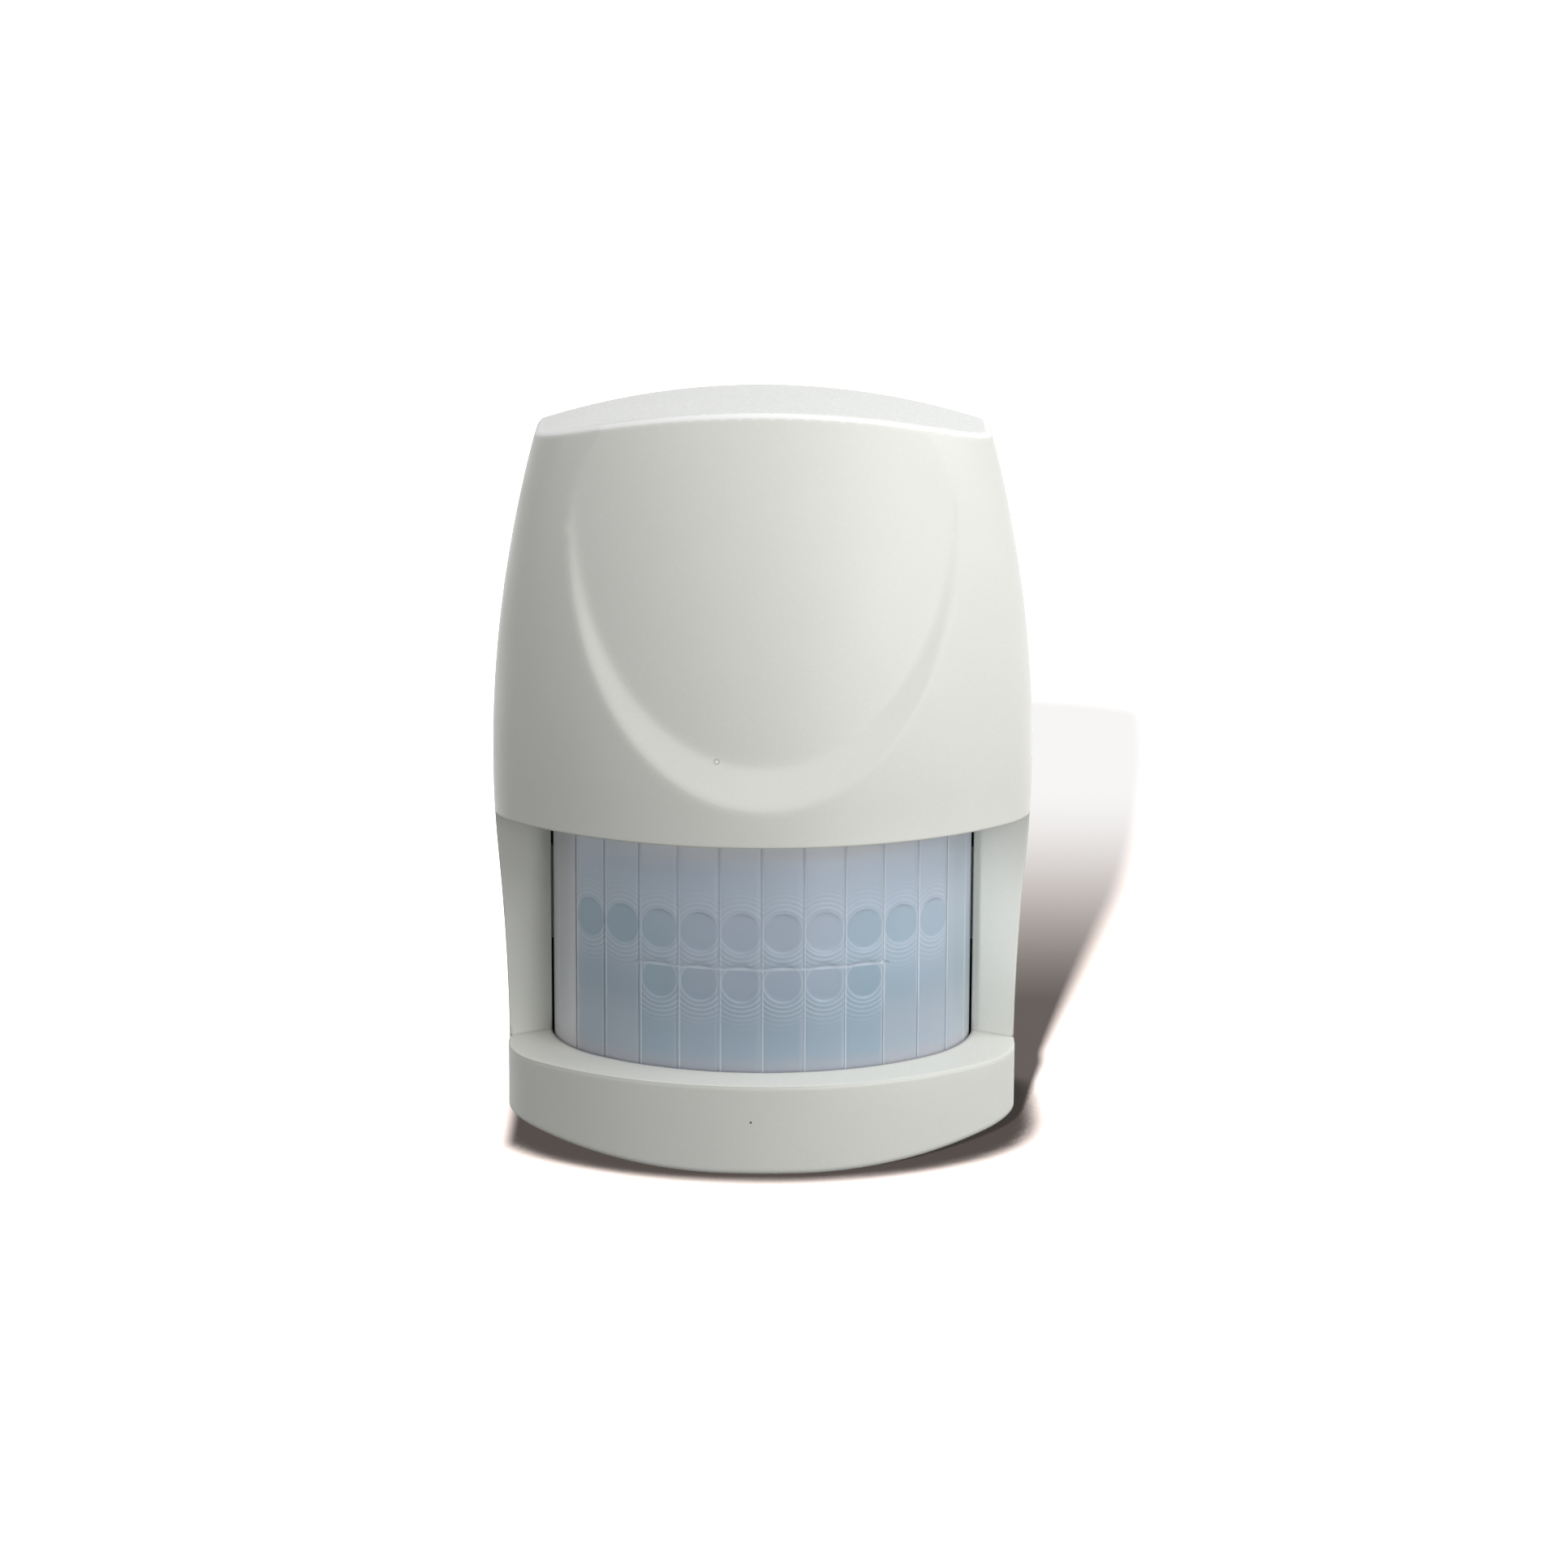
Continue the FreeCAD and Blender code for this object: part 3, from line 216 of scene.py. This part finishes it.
def cover_tone(tree, grain):
    """Off-white and frosted, with painted light: a lighter ledge, a lighter and cooler top face,
    and a painted highlight along its front edge.
    """
    height, side = height_and_side(tree)
    normal = tree.node("ShaderNodeNewGeometry").outputs["Normal"]
    upward = tree.node("ShaderNodeSeparateXYZ", {0: normal}).outputs["Z"]
    cloudy, speckled = grain.outputs["Cloud"], grain.outputs["Speck"]
    tone = tree.mix(cloudy, colour(0.70, 0.708, 0.662), colour(0.735, 0.743, 0.697))
    high = tree.range(height, TOP_FACE, TOP_FACE + 2.0 * MM)
    flat = tree.range(upward, 0.75, 0.95)
    top = tree.product(flat, high)
    # Painted light: flat upward faces below the top face, the ledge, are painted lighter and
    # warmer.
    ledge_painted_light = tree.math("SUBTRACT", flat, top)
    tone = tree.mix(tree.product(ledge_painted_light, 0.8), tone, colour(0.83, 0.83, 0.77))
    # Painted light: the top face is painted lighter and cooler, as lit from above.
    tone = tree.mix(tree.product(top, 0.6), tone, colour(0.75, 0.765, 0.76))
    frost = tree.math("MULTIPLY_ADD", flat, 0.5, tree.math("MULTIPLY_ADD", top, 0.3, 0.12))
    tone = tree.mix(tree.product(frost, speckled), tone, colour(0.86, 0.88, 0.86))
    # Painted highlight: a pale band along the top's front edge, where the surface turns from up to
    # front.
    turned_up = tree.range(upward, 0.56, 0.72)
    not_flat = tree.range(upward, 0.86, 0.96, 1.0, 0.0)
    painted_rim_highlight = tree.product(turned_up, not_flat, high)
    return tree.mix(tree.product(painted_rim_highlight, 0.85), tone, colour(0.93, 0.94, 0.93))


# Point in millimetres, radius in millimetres and colour of each tiny mark.
MARKS = (
    ((-5.52, -18.7, 50.9), 0.42, colour(0.52, 0.53, 0.50)),
    ((-5.52, -18.7, 50.9), 0.20, colour(0.86, 0.87, 0.85)),
    ((-1.3, -21.3, 6.5), 0.17, colour(0.12, 0.12, 0.12)),
)


def cover_finish():
    """Frosted off-white moulding with softened edges and two tiny marks."""
    material, tree, shader = new_material("frosted_cover")
    grain = use_group(tree, GRAIN, Scale=1.0, Speckle=1.0)
    tone = cover_tone(tree, grain)
    for point, radius, paint in MARKS:
        spot = use_group(tree, SPOT, Point=[value * MM for value in point], Radius=radius * MM)
        tone = tree.mix(spot.outputs["Mask"], tone, paint)
    soft = tree.node("ShaderNodeBevel", {"Radius": edge_softness(tree)}, samples=8)
    relief = tree.node(
        "ShaderNodeBump",
        {
            "Height": grain.outputs["Height"],
            "Strength": 0.12,
            "Distance": 0.06 * MM,
            "Normal": soft.outputs["Normal"],
        },
    )
    link = tree.tree.links.new
    link(tone, shader.inputs["Base Color"])
    link(tree.range(grain.outputs["Cloud"], 0.3, 0.7, 0.40, 0.48), shader.inputs["Roughness"])
    link(relief.outputs["Normal"], shader.inputs["Normal"])
    shader.inputs["Specular IOR Level"].default_value = 0.38
    return material


# The lens sheet, in millimetres: three tangent arcs, the wide one in the middle.
LENS_RADIUS = 31.5
LENS_SIDE = 17.0
LENS_TURN = 40.0
LENS_DEPTH = 35.0
# Its fields: their width, the heights of the disc rows and of the line between them.
PITCH = 5.2
UPPER_ROW, LOWER_ROW, DIVIDE = 28.55, 22.2, 24.0
UPPER_DISC, LOWER_DISC = 2.5, 2.4
UPPER_REACH, LOWER_REACH = 5 * PITCH, 3 * PITCH
# Rings: radians per millimetre, and the distances at which they are full and gone.
RING_WAVE = 11.0
RING_START, RING_END = 3.0, 6.5


def lens_coordinates():
    """Length of arc along the lens from its middle, and height, both in millimetres."""
    group, tree, _, end = new_group(
        "lens_sheet_coordinates",
        [],
        [("Along", "NodeSocketFloat"), ("Height", "NodeSocketFloat")],
    )
    parts = tree.node("ShaderNodeSeparateXYZ", {0: tree.place()})
    x = tree.math("MULTIPLY", parts.outputs["X"], 1 / MM)
    depth = tree.math("MULTIPLY_ADD", parts.outputs["Y"], -1 / MM, WALL_Y / MM)
    wide = tree.math("ABSOLUTE", x)
    middle = tree.math("ARCTAN2", wide, tree.math("ADD", depth, LENS_RADIUS - LENS_DEPTH))
    swing = LENS_RADIUS - LENS_SIDE
    turn = math.radians(LENS_TURN)
    side_x = swing * math.sin(turn)
    side_depth = LENS_DEPTH - LENS_RADIUS + swing * math.cos(turn)
    side = tree.math(
        "ARCTAN2",
        tree.math("SUBTRACT", wide, side_x),
        tree.math("SUBTRACT", depth, side_depth),
    )
    along_middle = tree.math("MULTIPLY", middle, LENS_RADIUS)
    along_side = tree.math("MULTIPLY_ADD", side, LENS_SIDE, swing * turn)
    beyond = tree.math("GREATER_THAN", middle, turn)
    chosen = tree.math(
        "MULTIPLY_ADD", beyond, tree.math("SUBTRACT", along_side, along_middle), along_middle
    )
    link = tree.tree.links.new
    link(tree.math("MULTIPLY", chosen, tree.math("SIGN", x)), end.inputs["Along"])
    link(tree.math("MULTIPLY", parts.outputs["Z"], 1 / MM), end.inputs["Height"])
    return group


def field_distance(tree, across, height, row):
    """Distance from the centre of a field's disc in the row at the given height."""
    up = tree.math("SUBTRACT", height, row)
    squares = tree.math("MULTIPLY_ADD", up, up, tree.product(across, across))
    return tree.math("SQRT", squares)


def field_masks(tree, along, height):
    """Masks of the discs, their edges, the rings and the lines, with each field's number.

    The ten fields of the upper row reach down to the hem outside the six of the lower row.
    """
    cell = tree.math("FLOOR", tree.math("DIVIDE", along, PITCH))
    across = tree.math("SUBTRACT", along, tree.math("MULTIPLY_ADD", cell, PITCH, PITCH / 2))
    reach = tree.math("ABSOLUTE", along)
    two_rows = tree.math("LESS_THAN", reach, LOWER_REACH)
    one_row = tree.math("SUBTRACT", 1.0, two_rows)
    in_band = tree.math("LESS_THAN", reach, UPPER_REACH)
    use_upper = tree.math("MAXIMUM", tree.math("GREATER_THAN", height, DIVIDE), one_row)
    upper = field_distance(tree, across, height, UPPER_ROW)
    lower = field_distance(tree, across, height, LOWER_ROW)
    radius = tree.math("MULTIPLY_ADD", use_upper, tree.math("SUBTRACT", upper, lower), lower)
    limit = tree.math("MULTIPLY_ADD", use_upper, UPPER_DISC - LOWER_DISC, LOWER_DISC)
    past_edge = tree.math("SUBTRACT", radius, limit)
    edge_gap = tree.math("ABSOLUTE", past_edge)
    wave = tree.math("SINE", tree.product(radius, RING_WAVE))
    outside = tree.range(radius, UPPER_DISC, RING_START)
    fade = tree.range(radius, RING_START, RING_END, 1.0, 0.0)
    line_gap = tree.math("SUBTRACT", PITCH / 2, tree.math("ABSOLUTE", across))
    line_share = tree.math("MAXIMUM", two_rows, tree.range(height, 17.0, 21.0))
    row_gap = tree.math("ABSOLUTE", tree.math("SUBTRACT", height, DIVIDE))
    return {
        "cell": cell,
        "reach": reach,
        "one_row": one_row,
        "disc": tree.product(tree.range(past_edge, -0.08, 0.08, 1.0, 0.0), in_band),
        "fainter": tree.range(along, 4.0, 18.0, 1.0, 0.55),
        "disc_edge": tree.product(tree.range(edge_gap, 0.0, 0.22, 1.0, 0.0), in_band),
        "rings": tree.product(wave, outside, in_band, fade),
        "lines": tree.product(
            tree.range(line_gap, 0.17, 0.26, 1.0, 0.0),
            tree.math("MULTIPLY_ADD", line_share, 0.5, 0.5),
        ),
        "row": tree.product(tree.range(row_gap, 0.12, 0.24, 1.0, 0.0), two_rows),
    }


def field_chance(tree, cell, shift):
    """A steady number from 0 to 1 for each field. Each shift gives another set."""
    number = tree.math("ADD", cell, shift)
    noise = tree.node("ShaderNodeTexWhiteNoise", {"W": number}, noise_dimensions="1D")
    return noise.outputs["Value"]


def sheet_tone(tree, masks, along, height, tint, chances):
    """Blue-grey sheet, warmer at its hem, with painted light: paler towards the hood and right
    under it, on the outer fields low down, and in the margins, most on the left.
    """
    cool, warm = chances
    base = tree.mix(tint, colour(0.295, 0.41, 0.49), colour(0.33, 0.42, 0.51))
    base = tree.mix(tree.product(cool, 0.35), base, colour(0.24, 0.38, 0.45))
    base = tree.mix(tree.product(warm, 0.25), base, colour(0.38, 0.40, 0.48))
    # Painted light: the sheet is painted paler upwards towards the hood, where the hood shades it.
    painted_light_high = tree.range(height, 20.0, 38.0, smooth=False)
    base = tree.mix(painted_light_high, base, colour(0.56, 0.645, 0.75))
    # Painted light: palest right under the hood, most in the middle.
    inward = tree.range(masks["reach"], 12.0, 24.0, 0.95, 0.5)
    painted_light_under_hood = tree.product(tree.range(height, 35.5, 40.5), inward)
    base = tree.mix(painted_light_under_hood, base, colour(0.86, 0.86, 0.87))
    # Painted light: the outer fields are painted paler low down.
    painted_light_outer_low = tree.product(tree.range(height, 16.0, 22.0, 0.3, 0.0), masks["one_row"])
    base = tree.mix(painted_light_outer_low, base, colour(0.50, 0.51, 0.55))
    # Painted light: the margins are painted paler, strongly on the left and faintly on the right.
    left_painted_light = tree.range(along, -27.0, -25.0, 0.95, 0.0)
    right_painted_light = tree.range(along, 25.0, 27.5, 0.0, 0.15)
    painted_light_margin = tree.math("MAXIMUM", left_painted_light, right_painted_light)
    base = tree.mix(painted_light_margin, base, colour(0.62, 0.64, 0.66))
    hem = tree.range(height, 11.0, 13.6, 0.4, 0.0)
    base = tree.mix(hem, base, colour(0.50, 0.44, 0.46))
    cloud = tree.noise(tree.place(), 160.0, 2.0)
    return tree.mix(tree.product(cloud, 0.12), base, colour(0.54, 0.50, 0.58))


def relief_tone(tree, masks, base, chances):
    """Tinted discs, with painted highlight on the lens's steps: a pale edge to each disc, pale
    rings round them, and pale lines between the fields and rows.
    """
    cool, warm = chances
    teal, lilac = colour(0.13, 0.31, 0.37), colour(0.40, 0.42, 0.53)
    leaning = tree.math("MULTIPLY_ADD", warm, 0.6, -0.3)
    outward = tree.math("ADD", tree.range(masks["reach"], 6.0, 15.0), leaning)
    disc_tint = tree.mix(outward, lilac, teal)
    strength = tree.math("MULTIPLY_ADD", cool, 0.17, 0.22)
    disc_share = tree.product(masks["disc"], strength, masks["fainter"])
    tone = tree.mix(disc_share, base, disc_tint)
    # Painted highlight: disc edges, rings and lines lie on the lens's real steps and grooves, and
    # are painted pale as if catching light; on the lines this also lightens the grooves' shade.
    tone = tree.mix(tree.product(masks["disc_edge"], 0.40), tone, colour(0.60, 0.68, 0.77))
    painted_ring_highlight = tree.product(tree.math("MAXIMUM", masks["rings"], 0.0), 0.5)
    tone = tree.mix(painted_ring_highlight, tone, colour(0.60, 0.67, 0.75))
    line_highlight_paint = colour(0.66, 0.73, 0.81)
    tone = tree.mix(tree.product(masks["lines"], 0.6), tone, line_highlight_paint)
    return tree.mix(tree.product(masks["row"], 0.6), tone, line_highlight_paint)


def lens_finish():
    """Milky sheet: pale lines between the fields, a tinted disc and faint rings in each."""
    material, tree, shader = new_material("milky_lens")
    sheet = use_group(tree, lens_coordinates())
    along, height = sheet.outputs["Along"], sheet.outputs["Height"]
    masks = field_masks(tree, along, height)
    chances = field_chance(tree, masks["cell"], 0.0), field_chance(tree, masks["cell"], 31.7)
    tint = tree.noise(tree.place(), 70.0, 1.0)
    base = sheet_tone(tree, masks, along, height, tint, chances)
    soft = tree.node("ShaderNodeBevel", {"Radius": 0.9 * MM}, samples=8)
    relief = tree.node(
        "ShaderNodeBump",
        {
            "Height": masks["rings"],
            "Strength": 0.25,
            "Distance": 0.04 * MM,
            "Normal": soft.outputs["Normal"],
        },
    )
    link = tree.tree.links.new
    link(relief_tone(tree, masks, base, chances), shader.inputs["Base Color"])
    link(relief.outputs["Normal"], shader.inputs["Normal"])
    link(tree.range(tint, 0.3, 0.7, 0.32, 0.40), shader.inputs["Roughness"])
    shader.inputs["Coat Weight"].default_value = 0.15
    shader.inputs["Coat Roughness"].default_value = 0.25
    shader.inputs["Subsurface Weight"].default_value = 0.6
    shader.inputs["Subsurface Radius"].default_value = (1.0, 1.0, 1.0)
    shader.inputs["Subsurface Scale"].default_value = 0.7 * MM
    return material


def dress_nodes():
    """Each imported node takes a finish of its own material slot."""
    cover = cover_finish()
    white = plain_finish("inner_white", (0.72, 0.72, 0.70), (0.64, 0.64, 0.62), 0.5)
    black = plain_finish("dull_black", (0.045, 0.045, 0.05), (0.02, 0.02, 0.022), 0.55)
    steel = plain_finish("drawn_steel", (0.62, 0.61, 0.59), (0.45, 0.45, 0.44), 0.32, 1.0, 0.6)
    strip = plain_finish("plated_strip", (0.70, 0.67, 0.60), (0.52, 0.50, 0.45), 0.3, 1.0, 0.6)
    brass = plain_finish("bare_brass", (0.72, 0.53, 0.24), (0.50, 0.36, 0.16), 0.35, 1.0, 0.6)
    can = plain_finish("satin_can", (0.75, 0.76, 0.78), (0.58, 0.59, 0.61), 0.38, 1.0, 0.6)
    board = plain_finish("lacquered_board", (0.04, 0.20, 0.09), (0.02, 0.12, 0.05), 0.35, coat=0.5)
    glass = plain_finish("dark_filter", (0.05, 0.05, 0.06), (0.02, 0.02, 0.025), 0.12, coat=1.0)
    resin = plain_finish("tinted_resin", (0.62, 0.10, 0.07), (0.45, 0.06, 0.04), 0.15, coat=1.0)
    blue = plain_finish("blue_moulding", (0.05, 0.12, 0.42), (0.03, 0.08, 0.30), 0.35)
    sleeve = plain_finish("dark_sleeve", (0.10, 0.11, 0.12), (0.06, 0.065, 0.07), 0.25, coat=0.6)
    lens = lens_finish()
    finishes = {
        "cover_plastic": cover,
        "lens_plastic": lens,
        "inner_plastic": white,
        "dark_plastic": black,
        "board_laminate": board,
        "steel": steel,
        "spring_metal": strip,
        "antenna_metal": brass,
        "capacitor_can": can,
        "sensor_glass": glass,
        "led_resin": resin,
        "jumper_plastic": blue,
        "cell_sleeve": sleeve,
    }
    for entry in frame["record"]["subparts"]:
        item = nodes[entry["node"]]
        item.data.materials.clear()
        item.data.materials.append(finishes[entry["material_slot"]])


dress_nodes()


# Floor, light and camera


def background_rays(tree):
    """Masks of the rays that should meet the white ground: straight ones, and in gloss or glass."""
    rays = tree.node("ShaderNodeLightPath").outputs
    mirrored = tree.math("MAXIMUM", rays["Is Glossy Ray"], rays["Is Transmission Ray"])
    return rays["Is Camera Ray"], mirrored


def collection_of(name, items):
    """A set of objects that a lamp is limited to."""
    made = bpy.data.collections.new(name)
    for item in items:
        made.objects.link(item)
    return made


def ground_sheet():
    """Flat square that the object stands on, far wider than the view."""
    mesh = bpy.data.meshes.new("ground")
    made = bmesh.new()
    bmesh.ops.create_grid(made, x_segments=1, y_segments=1, size=6.0)
    made.to_mesh(mesh)
    made.free()
    ground = bpy.data.objects.new("ground", mesh)
    bpy.context.scene.collection.objects.link(ground)
    return ground


# Painted contact shade reaches this far from the object, and not beside its left foot.
CONTACT_REACH = 9 * MM
LEFT_FOOT = -33.5 * MM
# Painted light, a glow of the ground, pales the shadow between these distances behind the origin.
PALE_START, PALE_END = 35 * MM, 190 * MM


def ground_finish():
    """Pale warm ground: white in the low sun, with painted contact shade where the object stands,
    and a painted glow that pales the far end of the shadow and lifts it a little everywhere."""
    material, tree, shader = new_material("pale_ground")
    straight, mirrored = background_rays(tree)
    seen = tree.math("MAXIMUM", straight, mirrored)
    place = tree.node("ShaderNodeSeparateXYZ", {0: tree.place()}).outputs
    # Painted shade: an occlusion mask darkens the ground's colour close to the object.
    contact_occlusion = tree.node("ShaderNodeAmbientOcclusion", {"Distance": CONTACT_REACH}, samples=16)
    free_of_contact_shade = tree.range(contact_occlusion.outputs["AO"], 0.66, 0.88)
    beside = tree.range(place["X"], LEFT_FOOT, LEFT_FOOT + 3.0 * MM, 1.0, 0.0)
    clear = tree.math("MAXIMUM", free_of_contact_shade, beside)
    camera_tone_with_painted_shade = tree.mix(clear, colour(0.005, 0.004, 0.0035), colour(0.18, 0.157, 0.148))
    others = tree.mix(mirrored, colour(0.016, 0.016, 0.016), colour(0.115, 0.115, 0.115))
    # Painted light: a glow seen straight and in gloss grows with distance behind the object and
    # pales its shadow, warm near it and white far off; a faint glow lifts the shadow everywhere.
    far = tree.range(place["Y"], PALE_START, PALE_END)
    painted_far_light = tree.product(far, 0.84, seen, clear)
    painted_shadow_lift = tree.product(seen, 0.05)
    painted_light_colour = tree.mix(far, colour(1.0, 0.85, 0.78), colour(1.0, 1.0, 1.0))
    link = tree.tree.links.new
    link(tree.mix(straight, others, camera_tone_with_painted_shade), shader.inputs["Base Color"])
    link(painted_light_colour, shader.inputs["Emission Color"])
    link(tree.math("MAXIMUM", painted_far_light, painted_shadow_lift), shader.inputs["Emission Strength"])
    shader.inputs["Roughness"].default_value = 0.9
    shader.inputs["Specular IOR Level"].default_value = 0.0
    return material


def stage_floor():
    """The ground, dressed with its finish."""
    ground = ground_sheet()
    ground.data.materials.append(ground_finish())
    return ground


def world_light():
    """Soft even light, seen as white behind the object and in its gloss."""
    world = bpy.data.worlds.new("studio")
    bpy.context.scene.world = world
    world.use_nodes = True
    tree = Tree(world.node_tree)
    straight, mirrored = background_rays(tree)
    strength = tree.math("MULTIPLY_ADD", tree.math("MAXIMUM", straight, mirrored), 0.49, 0.51)
    sky = tree.node("ShaderNodeBackground", {"Color": colour(1, 1, 1), "Strength": strength})
    tree.node("ShaderNodeOutputWorld", {"Surface": sky.outputs[0]})


def lamp_place(azimuth, elevation, distance):
    """Point at a bearing to the right of the front, as seen from the object's middle."""
    side, rise = math.radians(azimuth), math.radians(elevation)
    flat = distance * math.cos(rise)
    height = MIDDLE.z + distance * math.sin(rise)
    return Vector((flat * math.sin(side), -flat * math.cos(side), height))


def aimed_lamp(name, kind, place, power, receivers, aim=MIDDLE):
    """A lamp that points at the object and lights only the given set."""
    lamp = bpy.data.lights.new(name, kind)
    lamp.energy = power
    item = bpy.data.objects.new(name, lamp)
    bpy.context.scene.collection.objects.link(item)
    item.location = place
    item.rotation_mode = "QUATERNION"
    item.rotation_quaternion = (aim - place).to_track_quat("-Z", "Y")
    item.light_linking.receiver_collection = receivers
    item.visible_camera = False
    return lamp


# Name, bearing to the right, elevation, distance, width and power of each lamp, in degrees,
# metres and watts.
LAMPS = (
    ("right_key", 85, 45, 0.60, 0.26, 0.92),
    ("front_key", 50, 45, 0.60, 0.26, 0.51),
    ("near_right", 42, 22, 0.22, 0.08, 0.098),
    ("near_low", 28, 0, 0.24, 0.08, 0.080),
    ("left_top", -50, 75, 0.60, 0.26, 0.19),
    ("back_top", 0, 110, 0.60, 0.26, 0.33),
    ("back_fill", 180, 0, 0.60, 0.08, 0.35),
)


# A narrow beam on the right cheek: from, to, power in watts and angle in degrees.
BEAM_FROM, BEAM_TO = Vector((-0.07, -0.19, 0.03)), Vector((0.031, -0.002, 0.026))
BEAM_POWER, BEAM_ANGLE = 0.77, 9.0
# The sun over the ground: bearing, elevation, strength and angle of its disc.
SUN_BEARING, SUN_ELEVATION, SUN_STRENGTH, SUN_ANGLE = -10.4, 19.3, 83.0, 3.2


def light_the_set(ground):
    """Lamps for the object alone, and a low soft sun that only the ground takes."""
    object_set = collection_of("object_set", nodes.values())
    ground_set = collection_of("ground_set", [ground])
    for name, azimuth, elevation, distance, width, power in LAMPS:
        place = lamp_place(azimuth, elevation, distance)
        lamp = aimed_lamp(name, "AREA", place, power, object_set)
        lamp.shape = "DISK"
        lamp.size = width
    beam = aimed_lamp("cheek_beam", "SPOT", BEAM_FROM, BEAM_POWER, object_set, BEAM_TO)
    beam.spot_size = math.radians(BEAM_ANGLE)
    beam.spot_blend = 1.0
    beam.shadow_soft_size = 0.01
    sun_place = lamp_place(SUN_BEARING, SUN_ELEVATION, 0.8)
    sun = aimed_lamp("low_sun", "SUN", sun_place, SUN_STRENGTH, ground_set)
    sun.angle = math.radians(SUN_ANGLE)


# Camera: focal length and frame in pixels of the photograph, its place and its turn.
FOCAL_PIXELS, FRAME_PIXELS, SENSOR = 5801.8, 1932, 36.0
CAMERA_BACK, CAMERA_HEIGHT = 0.591, 0.175
CAMERA_PITCH, CAMERA_YAW, CAMERA_ROLL = 12.9325, 0.268, 0.25


def photo_camera():
    """The photograph's view: slightly from above, square to the front."""
    camera = bpy.data.cameras.new("photo_camera")
    item = bpy.data.objects.new("photo_camera", camera)
    bpy.context.scene.collection.objects.link(item)
    camera.sensor_width = SENSOR
    camera.lens = SENSOR * FOCAL_PIXELS / FRAME_PIXELS
    camera.clip_start, camera.clip_end = 0.01, 20.0
    item.location = (0.0, WALL_Y - CAMERA_BACK, CAMERA_HEIGHT)
    turn = (
        Matrix.Rotation(math.radians(-CAMERA_YAW), 4, "Z")
        @ Matrix.Rotation(math.radians(90 - CAMERA_PITCH), 4, "X")
        @ Matrix.Rotation(math.radians(CAMERA_ROLL), 4, "Z")
    )
    item.rotation_euler = turn.to_euler()
    bpy.context.scene.camera = item


world_light()
light_the_set(stage_floor())
photo_camera()
bpy.context.scene.view_settings.view_transform = "Standard"
